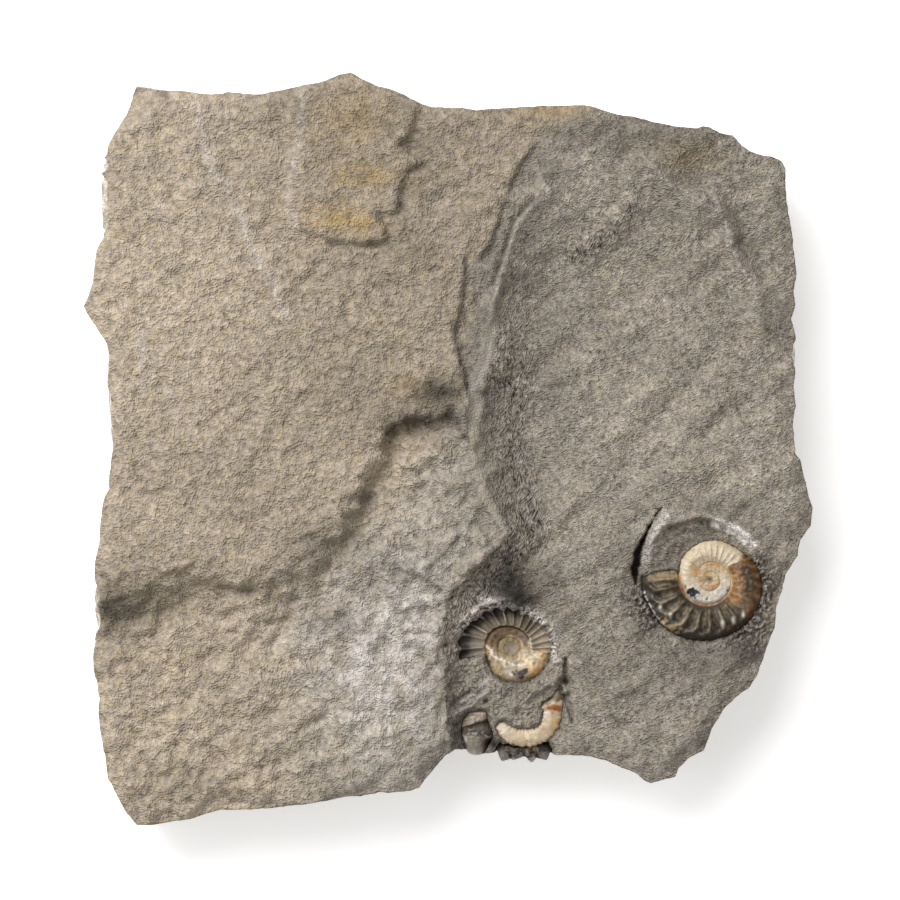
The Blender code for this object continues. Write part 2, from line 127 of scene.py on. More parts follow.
def curve(t, places, heights):
    """A smooth line through the given points."""
    p, h = np.array(places, dtype=float), np.array(heights, dtype=float)
    slope = np.gradient(h, p)
    i = np.clip(np.searchsorted(p, t) - 1, 0, len(p) - 2)
    width = p[i + 1] - p[i]
    s = np.clip((t - p[i]) / width, 0.0, 1.0)
    start = h[i] * (1 + 2 * s) * (1 - s) ** 2 + slope[i] * width * s * (1 - s) ** 2
    return start + h[i + 1] * s * s * (3 - 2 * s) + slope[i + 1] * width * s * s * (s - 1)


def rough(x, y, size, seed, z=0.0):
    """Soft lumps of about the given size, between -1 and 1."""
    deep = np.broadcast_to(z, np.shape(x)) / size + seed
    flat = [noise.noise(Vector(p)) for p in zip(np.ravel(x) / size, np.ravel(y) / size, np.ravel(deep))]
    return np.reshape(flat, np.shape(x))


def bump_at(x, y, px, wide, tall):
    """A soft round hump of height 1 at a place of the photograph, its half widths in pixels."""
    cx, cy = place(px)
    return np.exp(-(((x - cx) / (wide * PX)) ** 2) - ((y - cy) / (tall * PX)) ** 2)


def bumps(x, y, *rows):
    """The sum of round humps, from rows of a place, two half widths and a height."""
    return sum(height * bump_at(x, y, *spot) for *spot, height in rows)


def linear(code):
    """An sRGB hex colour as linear RGB."""
    parts = [int(code[i:i + 2], 16) / 255 for i in (1, 3, 5)]
    return np.array([p / 12.92 if p <= 0.04045 else ((p + 0.055) / 1.055) ** 2.4 for p in parts])


def coats(colour, *layers):
    """Colour at every place under layers, each a weight and the colour that it moves towards."""
    for weight, over in layers:
        over = linear(over) if isinstance(over, str) else over
        colour = colour + np.clip(weight, 0.0, 1.0)[..., None] * (over - colour)
    return colour


def stains(x, y, *rows):
    """Layers for coats, from rows of a place, two half widths, a weight and a colour."""
    return [(weight * bump_at(x, y, *spot), code) for *spot, weight, code in rows]


def reach_along(table, end, way, growth):
    """The outer radius at a number of turns back from the mouth; inside the table it keeps shrinking."""
    def reach(back):
        degrees = end + way * 360.0 * back
        past = (degrees - table[-1][0] if way > 0 else table[0][0] - degrees) / 360.0
        turns = np.ceil(np.maximum(0.0, past))
        return curve(degrees - way * 360.0 * turns, *zip(*table)) * PX * growth ** -turns
    return reach


def coil(reach, end, sign, turns, per_turn, columns):
    """A coil as a lattice: share of the whorl's width, turns back from its end, degrees and radius."""
    stations = np.arange(round(turns * per_turn) + 1) / per_turn
    back, u = np.meshgrid(stations, np.linspace(0.0, 1.0, columns), indexing="ij")
    inner = reach(back + 1.0)
    return u, back, end - sign * back * 360.0, inner + u * (reach(back) - inner)


def polar(centre, r, degrees):
    cx, cy = place(centre)
    return cx + r * np.cos(np.radians(degrees)), cy + r * np.sin(np.radians(degrees))


def ribbing(degrees, crests, sharpness):
    """1 on each rib's crest and 0 halfway between two."""
    phase = np.interp(degrees, crests, np.arange(len(crests)))
    return (0.5 + 0.5 * np.cos(2 * np.pi * phase)) ** sharpness


def outwards(ring, reach):
    """Unit directions out of a closed ring, from its run over a few neighbours."""
    run = np.roll(ring, -reach, axis=0) - np.roll(ring, reach, axis=0)
    way = np.stack([-run[:, 1], run[:, 0]], axis=1)
    x, y = ring[:, 0], ring[:, 1]
    area = np.sum(x * np.roll(y, -1) - np.roll(x, -1) * y)
    return -np.sign(area) * way / np.hypot(*way.T)[:, None]


def lattice_quads(ident):
    """The four corners of each cell of a lattice of point numbers."""
    return np.stack([ident[:-1, :-1], ident[1:, :-1], ident[1:, 1:], ident[:-1, 1:]], axis=-1).reshape(-1, 4)


def wall_quads(upper, lower):
    """The faces between two rings of point numbers, one below the other."""
    return np.stack([upper, np.roll(upper, -1), np.roll(lower, -1), lower], axis=1).tolist()


def points_of(*coordinates):
    return np.stack([np.ravel(c) for c in coordinates], axis=1)


def shown(name, data):
    """A new object of the scene for a mesh, a light or a camera."""
    made = bpy.data.objects.new(name, data)
    bpy.context.scene.collection.objects.link(made)
    return made


def closed_piece(name, verts, faces, colours, loop, floor):
    """Closes a top face with a side that draws in slightly and a flat base, and gives its colours."""
    ring = verts[loop]
    away = outwards(ring[:, :2], 3)
    parts, shades, upper = [verts], [colours], np.array(loop)
    for drop, inset, shade in ((0.12, 0.05, 0.8), (0.5, 0.35, 0.5), (1.0, 0.9, 0.4)):
        lower = sum(len(part) for part in parts) + np.arange(len(loop))
        z = ring[:, 2] + (floor - ring[:, 2]) * drop
        parts.append(np.column_stack([ring[:, :2] - away * inset, z]))
        shades.append(colours[loop] * shade)
        faces += wall_quads(upper, lower)
        upper = lower
    faces.append(upper.tolist())
    mesh = bpy.data.meshes.new(name)
    mesh.from_pydata((np.concatenate(parts) * MM).tolist(), [], faces)
    rgba = np.column_stack([np.concatenate(shades), np.ones(len(mesh.vertices))])
    layer = mesh.attributes.new("tint", "FLOAT_COLOR", "POINT")
    layer.data.foreach_set("color", rgba.astype(np.float32).ravel())
    bm = bmesh.new()
    bm.from_mesh(mesh)
    bmesh.ops.delete(bm, geom=[v for v in bm.verts if not v.link_faces], context="VERTS")
    bmesh.ops.recalc_face_normals(bm, faces=bm.faces[:])
    bm.to_mesh(mesh)
    mesh.shade_smooth()
    return shown(name, mesh)


def coil_piece(name, x, y, z, per_turn, hub, colours, hub_code, floor):
    """A closed shell from a spiral lattice whose whorls share their seams; it returns its outline too."""
    rows, columns = x.shape
    ident = np.arange(rows * columns).reshape(rows, columns)
    ident[:rows - per_turn, 0] = ident[per_turn:, -1]
    verts = np.concatenate([points_of(x, y, z), [hub]])
    colours = np.concatenate([colours.reshape(-1, 3), [linear(hub_code)]])
    faces = lattice_quads(ident).tolist()
    inner = [ident[s, 0] for s in range(rows - per_turn - 1, rows)] + list(ident[-1, 1:-1])
    faces += [(int(a), int(b), len(verts) - 1) for a, b in zip(inner, inner[1:] + inner[:1])]
    loop = list(ident[:per_turn, -1]) + list(ident[0, :-1])
    return closed_piece(name, verts, faces, colours, loop, floor), verts[loop][:, :2]


def add(material, kind, output=0, **values):
    """Adds a node and gives one of its outputs. Values in small letters are its settings. The others go
    to the input of that name, or of the number after an i: a link, a number or an sRGB hex colour."""
    tree = material.node_tree
    made = tree.nodes.new("ShaderNode" + kind)
    for key, value in values.items():
        by_number = key[0] == "i" and key[1:].isdigit()
        if key.islower() and not by_number:
            setattr(made, key, value)
            continue
        socket = made.inputs[int(key[1:]) if by_number else key.replace("_", " ")]
        if isinstance(value, bpy.types.NodeSocket):
            tree.links.new(value, socket)
        else:
            socket.default_value = (*linear(value), 1.0) if isinstance(value, str) else value
    return made.outputs[output]


def in_mm(material):
    """The piece's own coordinates in millimetres, which every pattern is laid out in."""
    spot = add(material, "TexCoord", "Object")
    return add(material, "VectorMath", operation="SCALE", Vector=spot, Scale=1000.0)


def new_material(name, **values):
    """A material of one Principled shader with the given values, and that shader."""
    material = bpy.data.materials.new(name)
    material.use_nodes = True
    shader = material.node_tree.nodes["Principled BSDF"]
    for key, value in values.items():
        shader.inputs[key.replace("_", " ")].default_value = value
    return material, shader


def calcite(name, roughness, coat, grain_mm, mottle):
    """Calcite shell: smooth and faintly clouded, with the polish that the coat gives."""
    m, shader = new_material(
        name, Roughness=roughness, IOR=1.52, Coat_Weight=coat, Coat_Roughness=0.22, Subsurface_Weight=0.12,
        Subsurface_Radius=(1.0, 0.6, 0.35), Subsurface_Scale=0.001)
    mm = in_mm(m)
    own = add(m, "Attribute", "Color", attribute_name="tint")
    cloud = add(m, "TexNoise", "Fac", Vector=mm, Scale=1.0 / grain_mm, Detail=4.0, Roughness=0.65)
    clouded = {"Value": cloud, "From_Min": 0.3, "From_Max": 0.7}
    shade = add(m, "MapRange", **clouded, To_Min=1.0 - mottle, To_Max=1.0 + mottle)
    wear = add(m, "MapRange", **clouded, To_Min=roughness - 0.12, To_Max=roughness + 0.15)
    uneven = add(m, "TexNoise", "Fac", Vector=mm, Scale=2.2, Detail=3.0)
    link = m.node_tree.links.new
    link(add(m, "VectorMath", operation="SCALE", Vector=own, Scale=shade), shader.inputs["Base Color"])
    link(add(m, "Bump", Height=uneven, Strength=0.6, Distance=0.00025), shader.inputs["Normal"])
    link(wear, shader.inputs["Roughness"])
    return m


large_reach = reach_along(LARGE_REACH, LARGE_END, 1, LARGE_GROWTH)


def large_colours(x, y, u, back, degrees, rib):
    """Black-brown on the last whorl, rust beside the ivory one, thin tan rings in the middle."""
    blotch = rough(x, y, 3.0, 101)
    fine = rough(x, y, 1.1, 102)
    turn = degrees % 360
    sheen = window(u, 0.08, 0.2, 0.74, 0.2) * smooth(0.55 + 1.4 * blotch)
    rust = ramp(degrees, 306, 36)
    dark = window(degrees, 318, 22, 392, 16) * window(u, 0.3, 0.2, 0.92, 0.12) * smooth(1.0 + 1.2 * blotch)
    inner_ribs = ramp(u, 0.34, -0.12) * smooth(rib + 0.6 * blotch)
    # Ribs catch the light unevenly: little at the mouth, most below the middle, at their outer ends
    bright = curve(degrees, [174, 192, 206, 221, 237, 252, 267, 284, 300, 315, 332, 700],
                   [0.1, 0.22, 0.5, 0.8, 0.95, 0.75, 0.75, 0.85, 0.6, 0.5, 0.3, 0.3])
    crest = rib ** 1.6 * window(u, 0.05, 0.12, 0.82, 0.08) * bright * (0.35 + 0.65 * ramp(u, 0.15, 0.4))
    crest = crest * smooth(0.8 + 2.2 * rough(degrees, 9 * u, 2.2, 108))
    mouth = ramp(degrees, 184, -4)
    streak = smooth(0.5 + 1.6 * rough(x * 0.3, y, 0.8, 104))
    colour = coats(
        linear("#453a2b"), (0.75 * sheen, "#6a5c47"),
        (0.8 * ramp(rib, 0.22, -0.2) * ramp(u, 0.5, 0.2), "#26221c"), (rust, "#83592f"),
        (0.92 * dark, "#423421"), (0.6 * rust * inner_ribs, "#b0946a"),
        *stains(x, y, ((736, 600), 7, 5, 0.8, "#b9803f"), ((743, 609), 8, 8, 0.8, "#7a6a58"),
                ((751, 616), 5, 9, 0.8, "#9a5f2c"), ((732, 630), 9, 5, 0.9, "#5f4026")),
        (0.75 * crest * (1 - 0.6 * rust), "#b5a88f"), (0.6 * rust * rib * ramp(u, 0.7, 0.12), "#b08452"),
        (0.7 * rust * (1 - rib) * ramp(u, 0.8, 0.1), "#5c4329"), (0.9 * mouth, "#ab9675"),
        (0.45 * mouth * streak, "#5d5040"))
    colour = colour * (1.0 + 0.9 * fine * (1 - 0.5 * rust))[..., None]
    keel = ramp(u, 0.8, 0.08) * (1 - rust)
    gold = bump_at(x, y, (676, 629), 9, 6) + bump_at(x, y, (664, 622), 5, 5)
    glints = ((722.8, 623.4), (733.8, 619.5), (744.3, 615), (671, 615.5), (661, 607))
    colour = coats(
        colour, (0.7 * smooth(2.6 * fine - 0.35) * ramp(u, 0.1, 0.2), "#6b6454"), (0.8 * keel, "#2a261f"),
        (0.6 * keel * ramp(u, 0.9, -0.05) * smooth(0.5 + 2 * fine), "#5d5440"),
        (smooth(1.5 * gold - 0.3) * smooth(0.7 + 1.8 * fine), "#ad986c"),
        *stains(x, y, *((glint, 1.5, 2.6, 1.0, "#f2ecdf") for glint in glints)),
        (0.8 * rust * ramp(u, 0.10, -0.08), "#c2a27a"))

    ivory = smooth((back - IVORY_FROM + 0.025 * blotch) / 0.012)
    pale = coats(
        linear("#d9ccb4"), (0.9 * window(turn, 190, 40, 352, 14), "#cac2b8"),
        (0.4 * ramp(turn, 180, -50) * (1 - rib) * ramp(u, 0.12, 0.25), "#c4ab84"),
        (0.55 * smooth(0.2 + 1.8 * blotch) * ramp(u, 0.35, -0.25), "#c6a677"),
        (ramp(u, 0.94, 0.04) * smooth(0.6 + 1.5 * fine), "#b88a58"),
        *stains(x, y, ((679.5, 579), 2.6, 7, 0.9, "#c58a4c"), ((683, 590), 3, 5, 0.9, "#ad6e3c"),
                ((694, 571), 3, 8, 0.8, "#cf9c5f")))
    # Inmost whorls: worn nearly flat, with thin rings and an empty pit in the middle
    r = away_from(LARGE_CENTRE, x, y) / PX
    wave = 0.5 + 0.5 * np.sin(2 * np.pi * (r + 0.8 * blotch) / 3.5)
    rings = coats(
        linear("#c3b191"), (0.55 * wave, "#a98a61"), (0.75 * smooth(2.2 * blotch - 0.1), "#b98a50"),
        *stains(x, y, ((700, 572), 3, 3, 0.75, "#c08348"), ((703, 581), 3, 3, 0.75, "#9c6236"),
                ((713, 587), 3, 3, 0.75, "#b0683a"), ((708, 574), 3, 3, 0.75, "#b98b4e"),
                ((717, 578.5), 3, 3, 0.75, "#d3c48a")),
        (ramp(r, 3.4, -1.2), "#4f473a"))
    chip = bump_at(x, y, (694, 592.5), 6.5, 4.6) * (1.2 + 1.2 * fine)
    specks = [(0.85 * smooth(1.6 * bump_at(x, y, speck, 1.3, 1.8) - 0.4), "#45403e")
              for speck in ((708, 599.5), (728.6, 591), (686.5, 587), (696, 598.5))]
    crushed = smooth((u - 0.945 + 0.04 * blotch) / 0.02) * window(degrees, 186, 4, 228, 6)
    crushed = crushed * smooth(0.5 + 2.4 * rough(x, y, 0.7, 109))
    return coats(colour, (ivory, pale), (ramp(back, IVORY_TO, 0.04), rings),
                 (ramp(chip, 0.45, 0.12), "#20242c"), *specks, (0.9 * crushed, "#ddd7ca"))


def build_large():
    u, back, degrees, r = coil(large_reach, LARGE_END, -1, LARGE_TURNS, LARGE_PER_TURN, LARGE_COLUMNS)
    slant = (14.0 * u - 9.0) * (1.0 - smooth(back / 0.09))
    x, y = polar(LARGE_CENTRE, r, degrees + slant)
    outer = large_reach(back)
    worn = ramp(back, 1.45, 0.2)
    last_whorl = ramp(back, 0.66, -0.05)
    bend = 5.0 * ramp(degrees, 215, 60) * u - 7.0 * ramp(u, 0.62, 0.3) * last_whorl
    rib = ribbing(degrees + slant - bend, LARGE_RIBS, 2.2)
    level = curve(u, [0, 0.06, 0.16, 0.34, 0.52, 0.70, 0.80, 0.91, 1.0],
                  [0.30, 0.55, 0.84, 0.99, 1.0, 0.90, 0.74, 0.50, 0.26])
    level += (0.78 - level) * 0.7 * ramp(back + 0.9 * (1.0 - u), 1.35, 0.3)
    rib_share = curve(u, [0, 0.08, 0.25, 0.55, 0.7, 0.84, 1.0], [0, 0.35, 0.7, 1.0, 1.1, 0.3, 0.0])
    rib_share = rib_share * (1.0 - 0.8 * ramp(degrees, 305, 30) * last_whorl)
    rib_height = 0.028 + 0.046 * last_whorl * (1.0 - 0.5 * ramp(degrees, 300, 40))
    rib_height = rib_height * np.where(back > IVORY_FROM, ramp(degrees, 540, -50), 1.0)
    rib_height = rib_height * (1.0 + 0.9 * rough(degrees, 6 * u, 9, 105))
    height = outer * (0.29 * level * (1.0 - 0.7 * worn) - 0.075 * rib_share * last_whorl)
    height += outer * rib * rib_share * rib_height * (1.0 - worn)
    lip = ramp(u, 0.9, 0.06) * window(degrees, 186, 5, 232, 5)
    height += lip * (0.8 + 0.5 * rough(x, y, 1.2, 106))
    height += 0.32 * rough(x, y, 1.9, 103) * (0.35 + 0.65 * last_whorl)
    height += 0.16 * rough(x, y, 0.9, 107)
    z = LARGE_PLANE + height * (0.3 + 0.7 * smooth(back / 0.03)) + 1.6 * worn
    hub = (*place(LARGE_CENTRE), LARGE_PLANE + 1.2)
    colours = large_colours(x, y, u, back, degrees + slant, rib)
    return coil_piece("large_ammonite", x, y, z, LARGE_PER_TURN, hub, colours, "#4a4038", LARGE_FLOOR)


large, large_outline = build_large()
large.data.materials.append(calcite("brown_and_ivory_calcite", 0.46, 0.1, 1.3, 0.22))
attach(large, "root")
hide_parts("ammonite_large")


# Middle ammonite: a tan calcite shell about 30 mm across. Its inner whorls stand out round and shiny;
# of the last whorl only the mould is left, hollow flutes with thin bright ridges between them.
MIDDLE_CENTRE = (510.8, 649.1)
MIDDLE_END = 553
MIDDLE_TURNS = 3.1
MIDDLE_PER_TURN = 330
MIDDLE_COLUMNS = 25
MIDDLE_PLANE = 21.0
MIDDLE_FLOOR = 18.0
MIDDLE_GROWTH = 2.0
MOULD_FROM = 347
# Degrees round the coil and its outer radius in pixels
MIDDLE_REACH = [
    (-10, 19.5), (10, 20.4), (34, 21.3), (63, 21.3), (99, 22.7), (133, 25.6), (153, 26.2), (175, 26.2),
    (196, 26.4), (216, 28.4), (237, 32), (258, 33.6), (278, 35.4), (296, 37.8), (308, 38.8), (324, 39.7),
    (339, 40.4), (361, 41.8), (388, 40), (411, 37), (436, 38), (458, 40.6), (475, 43), (490, 45),
    (508, 48), (528, 52), (553, 52),
]
MOULD_RIDGES = [341, 351, 359, 369, 381, 393, 405, 413, 427, 443, 459, 475, 491, 507, 521, 539, 557, 575]
# White seams between the chambers
SEAMS = [
    [(489, 653), (496, 659), (503, 661), (512, 666), (520, 667)], [(503, 661), (505, 668), (512, 676)],
    [(530, 642), (531.5, 649), (534, 656), (541, 661)], [(520, 667), (527, 664), (534, 657)],
    [(487, 648), (492, 652), (489, 660)],
]
middle_reach = reach_along(MIDDLE_REACH, MIDDLE_END, -1, MIDDLE_GROWTH)


def line(points):
    return np.array([place(p) for p in points])


def distance(pts, x, y, closed=False):
    """Distance from each place to a line, how far along it that is (0 to 1), and the nearest place."""
    ends = np.roll(pts, -1, axis=0) if closed else pts[1:]
    starts = pts if closed else pts[:-1]
    best = np.full(np.shape(x), 1e9)
    along = np.zeros(np.shape(x))
    near = np.zeros((2,) + np.shape(x))
    for i, (a, b) in enumerate(zip(starts, ends)):
        way = b - a
        t = np.clip(((x - a[0]) * way[0] + (y - a[1]) * way[1]) / (way @ way), 0.0, 1.0)
        nx, ny = a[0] + t * way[0], a[1] + t * way[1]
        d = np.hypot(x - nx, y - ny)
        closer = d < best
        best = np.where(closer, d, best)
        along = np.where(closer, (i + t) / len(starts), along)
        near[0] = np.where(closer, nx, near[0])
        near[1] = np.where(closer, ny, near[1])
    return best, along, near


def from_line(points, x, y):
    """Distance from each place to a line through places of the photograph."""
    return distance(line(points), x, y)[0]


def middle_colours(x, y, u, degrees, mould, ridge):
    """Brown above, tan lobes below, amber at the right, white seams; dark flutes with painted shadow at
    their outer ends, and thin pale ridges.
    """
    blotch = rough(x, y, 2.6, 111)
    fine = rough(x, y, 0.9, 112)
    r = away_from(MIDDLE_CENTRE, x, y) / PX
    ring = hump(r - 11.5 - 1.5 * blotch, 1.3)
    brown = 1.7 * bump_at(x, y, (507, 636), 25, 15) - 0.1 + 0.3 * blotch
    # The last four layers are the inmost whorls and the bluish crystals in the middle
    shell = coats(
        linear("#a8977b"), (smooth(brown), "#665036"),
        *stains(x, y, ((524, 638), 8, 9, 0.8, "#776257"), ((497, 671), 9, 9, 0.9, "#b09c74"),
                ((510, 671), 6, 9, 0.8, "#b3aa98"), ((528, 663), 9, 9, 0.9, "#d3c1a0"),
                ((543, 664), 9, 13, 0.95, "#cfae80"), ((537, 676), 8, 8, 0.9, "#c49760"),
                ((522, 655), 8, 5, 0.8, "#e2d2b4"), ((488, 656), 2.5, 9, 0.8, "#a8743c")),
        (0.8 * ramp(r, 13.5, -2.0), "#93805f"), (0.6 * ring * smooth(0.5 + 1.5 * blotch), "#c0aa84"),
        (0.8 * smooth((6.0 - r + 2.5 * fine) / 2.5), "#756c66"),
        (0.45 * ramp(r, 5.0, -3.0) * smooth(0.7 + 1.2 * fine), "#a39d9a"))
    seam_width = PX * np.maximum(0.8 + 1.6 * fine, 0.2)
    for seam in SEAMS:
        d = from_line(seam, x, y)
        shell = coats(shell, (0.85 * smooth(1.6 - d / seam_width), "#d9d0c3"),
                      (0.3 * smooth(1.5 - d / (2.2 * PX)) * smooth(0.6 + 2 * blotch), "#d9cdbb"))
    black = bumps(x, y, ((518, 674), 7, 3.5, 1), ((526, 672), 4.5, 4, 1), ((521, 679), 5, 3, 1))
    edge = ramp(u, 0.94, 0.03) * (1 - mould) * ramp(degrees, 196, 20)
    shell = coats(shell, (smooth(1.9 * black - 0.8 + 1.5 * fine), "#3a2f2c"),
                  *stains(x, y, ((517, 678), 3.0, 2.5, 0.7, "#8f7a78")), (0.9 * edge, "#ead9b6"))
    shell = shell * (1.0 + 0.5 * fine + 0.3 * blotch)[..., None]

    # Painted shadow: the flutes go nearly black towards their outer ends, where the rock wall above the
    # mould shades them
    flute_end_shadow_from = 0.37 + 0.5 * rough(degrees, 0 * x, 17, 115)
    flute_end_shadow = smooth((u - flute_end_shadow_from) / 0.35) * ramp(degrees, 415, 30)
    share = smooth(0.45 + 1.8 * rough(degrees, 12 * u, 11, 114))
    share = share * np.interp(degrees, [350, 430, 470, 550], [0.35, 0.45, 0.85, 1.0])
    hollow = coats(
        linear("#756a5a"), (0.7 * ramp(degrees, 500, 30), "#8f8677"),
        (0.9 * ramp(degrees, 412, -30), "#b0a28f"), (0.88 * flute_end_shadow, "#1b1713"),
        (share * ridge * ramp(u, 0.03, 0.1), "#bdb2a0"), (0.5 * ramp(u, 0.06, -0.04), "#c7b89c"))
    return coats(shell, (mould, hollow))


def build_middle():
    u, back, degrees, r = coil(middle_reach, MIDDLE_END, 1, MIDDLE_TURNS, MIDDLE_PER_TURN,
                               MIDDLE_COLUMNS)
    outer = middle_reach(back)
    mould = ramp(degrees, MOULD_FROM, 14)
    ridge = ribbing(degrees - 3.0 * u, MOULD_RIDGES, 5.5)
    hollow = ribbing(degrees - 3.0 * u, MOULD_RIDGES, 1.0)
    # The flutes bulge a little past the ridges at the mould's edge
    bulge = 0.8 * (0.35 - hollow) + 0.7 * rough(degrees, 0 * u, 9, 116)
    r = r + bulge * mould * u ** 5
    x, y = polar(MIDDLE_CENTRE, r, degrees)
    level = curve(u, [0, 0.08, 0.22, 0.45, 0.7, 0.88, 1.0], [0.3, 0.62, 0.86, 0.92, 0.88, 0.7, 0.42])
    level += (0.78 - level) * 0.75 * ramp(back + 0.9 * (1.0 - u), 1.4, 0.25)
    lobes = 0.5 * np.abs(np.sin(np.radians(degrees * 2.6 + 20))) * ramp(degrees, 190, 30)
    convex = level * 0.27 * outer + lobes * np.sin(np.pi * u)
    dish = curve(u, [0, 0.15, 0.4, 0.7, 0.9, 1.0], [2.9, 2.0, 1.3, 1.0, 0.9, 1.0])
    dish += 1.4 * ramp(degrees, 460, -40) * ramp(u, 0.3, 0.6)
    dish += (0.5 * hollow + (0.5 + 0.9 * u) * ridge) * smooth(u / 0.12)
    height = convex + mould * (dish - convex)
    seams = 1.0 - np.clip(np.abs(in_picture(x, y)[1] - 660) / 9, 0, 1)
    seams = (0.18 + 0.35 * seams * (1 - mould)) * ramp(outer, 4, 4)
    height += seams * rough(x, y, 1.2, 113)
    hub = (*place(MIDDLE_CENTRE), MIDDLE_PLANE + height[-1, 0])
    colours = middle_colours(x, y, u, degrees, mould, ridge)
    return coil_piece("middle_ammonite", x, y, MIDDLE_PLANE + height, MIDDLE_PER_TURN, hub, colours,
                      "#89827c", MIDDLE_FLOOR)


middle, middle_outline = build_middle()
middle.data.materials.append(calcite("tan_calcite_with_veins", 0.5, 0.05, 1.1, 0.2))
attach(middle, "root")
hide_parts("ammonite_middle")


# Third ammonite: only a half-round band of its outer whorl shows, cream calcite that turns rust red and
# clear amber towards its end at the upper right. Grey rock fills the space inside it.
ARC_CENTRE = (520.6, 709.4)
# Degrees along the band, then its inner and outer radius in pixels
ARC_DEGREES = [214, 224, 238, 260, 290, 316, 332, 350, 370, 379, 388]
ARC_INNER = [21, 20.5, 20, 20.3, 22, 25, 25, 22.6, 23.2, 31, 42.2]
ARC_OUTER = [29, 33, 35.6, 37.8, 41, 42.8, 43, 42.6, 43.4, 43.4, 43.2]
ARC_STATIONS = 260
ARC_STEPS = 26
ARC_PLANE = 23.8
ARC_FLOOR = 18.0


def build_arc():
    share, around = np.meshgrid(np.linspace(0, 1, ARC_STATIONS + 1), np.linspace(0, 1, ARC_STEPS + 1),
                                indexing="ij")
    degrees = ARC_DEGREES[0] + (ARC_DEGREES[-1] - ARC_DEGREES[0]) * share
    inner = curve(degrees, ARC_DEGREES, ARC_INNER) * PX
    outer = curve(degrees, ARC_DEGREES, ARC_OUTER) * PX
    blunt = np.where(share > 0.05, 1.0, np.sqrt(np.clip(1.0 - (1.0 - share / 0.05) ** 2, 0.0, 1.0)))
    thick = 0.31 * (outer - inner) * (0.2 + 0.8 * blunt)
    outer = outer + 0.7 * rough(degrees, 0 * share, 6, 124)
    inner = inner + 0.6 * rough(degrees, 0 * share, 7, 125)
    half = 0.5 * (outer - inner) * (0.2 + 0.8 * blunt)
    x, y = polar(ARC_CENTRE, 0.5 * (outer + inner) - half * np.cos(np.pi * around), degrees)
    px, py = in_picture(x, y)
    rib = ribbing(degrees, np.arange(200, 420, 12.5), 1.0)
    bow = np.sin(np.pi * around) ** 0.7
    z = ARC_PLANE + bow * (thick + 0.05 * rib * blunt + 0.32 * rough(x, y, 2.0, 121))
    blotch = rough(x, y, 2.2, 122)
    fine = rough(x, y, 0.9, 123)
    outside = np.where(around > 0.5, 1.0, 0.6) * np.abs(around - 0.5) * 2.0
    rust = smooth(1.6 * bump_at(x, y, (555, 709), 9, 5) - 0.35 + 0.9 * fine + 0.9 * blotch)
    tip = smooth((705.5 - py + 5 * blotch) / 4.5) * ramp(px, 536, 4)
    colour = coats(
        linear("#beab8e"), (0.12 * (1 - rib) * smooth(0.6 + blotch), "#b79f7c"),
        (0.85 * smooth((outside - 0.5 + 0.7 * blotch) / 0.45), "#b08a5e"),
        (0.4 * smooth(1.8 * fine - 0.1), "#efe6d6"),
        *stains(x, y, ((503, 731), 6, 8, 0.8, "#e6d9c4"), ((528, 738), 16, 5, 0.5, "#e2d2b3"),
                ((554, 722), 6, 8, 0.7 * smooth(0.7 + 2 * blotch), "#c99f5e"),
                ((546, 715), 6, 4, 0.9, "#ded3c4")),
        (rust, "#99622f"), *stains(x, y, ((558, 709), 5, 3, 0.7 * rust, "#94481f")),
        (tip, "#5f5240"), (0.7 * tip * smooth(0.3 + 2.2 * blotch), "#75633f"),
        (0.6 * tip * ramp(around, 0.9, 0.06), "#d8cfbd"))
    ident = np.arange(x.size).reshape(x.shape)
    loop = list(ident[:, 0]) + list(ident[-1, 1:]) + list(ident[-2::-1, -1]) + list(ident[0, -2:0:-1])
    verts = points_of(x, y, z)
    piece = closed_piece("third_ammonite", verts, lattice_quads(ident).tolist(), colour.reshape(-1, 3), loop,
                         ARC_FLOOR)
    return piece, verts[loop][:, :2]


arc, arc_outline = build_arc()
arc.data.materials.append(calcite("cream_calcite", 0.4, 0.25, 1.0, 0.14))
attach(arc, "root")
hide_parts("ammonite_arc")


# Fragment: a piece of a fourth ammonite's whorl at the slab's lower edge, mauve-grey over slate,
# with a grey lower lobe whose right side is painted dark brown as shadow; its steps are breaks across the
# shell.
FRAGMENT_CENTRE = (475.5, 735)
FRAGMENT_OUTLINE = [
    (487, 713), (478, 712.3), (469.5, 714), (464, 719), (461, 727), (461, 736), (464, 743), (465, 750),
    (470, 756), (478, 757.3), (485, 755), (488.5, 748), (493, 741), (494, 735), (490, 727), (488, 720),
]
FRAGMENT_SPOKES = 160
FRAGMENT_RINGS = 48
FRAGMENT_PLANE = 22.6
FRAGMENT_FLOOR = 17.0


def round_lattice(centre, outline, rings):
    """Places in rings from an outline in to a middle place, and how far out each is."""
    share = np.linspace(0.0, 1.0, rings + 1)[1:, None]
    middle_place = np.array(place(centre))
    spread = middle_place + (outline[None] - middle_place) * share[..., None]
    places = np.concatenate([spread.reshape(-1, 2), [middle_place]])
    return places[:, 0], places[:, 1], np.append(np.repeat(share, len(outline)), 0.0)


def along_outline(points, spokes):
    """Evenly spaced places along a closed outline of a few points, its corners rounded off."""
    closed = line([*points, points[0]])
    run = np.concatenate([[0], np.cumsum(np.hypot(*(closed[1:] - closed[:-1]).T))])
    at = np.linspace(0, run[-1], spokes, endpoint=False)
    ring = np.stack([np.interp(at, run, closed[:, 0]), np.interp(at, run, closed[:, 1])], axis=1)
    return (np.roll(ring, 3, axis=0) + ring + np.roll(ring, -3, axis=0)) / 3


def round_piece(name, x, y, z, colours, spokes, floor):
    """A closed piece from a round lattice, its middle point last."""
    count = len(x) - 1
    ident = np.arange(count).reshape(-1, spokes)
    nxt = np.roll(ident, -1, axis=1)
    faces = np.stack([ident[:-1], ident[1:], nxt[1:], nxt[:-1]], axis=-1).reshape(-1, 4).tolist()
    faces += [(int(a), int(b), count) for a, b in zip(ident[0], nxt[0])]
    return closed_piece(name, points_of(x, y, z), faces, colours, list(ident[-1]), floor)


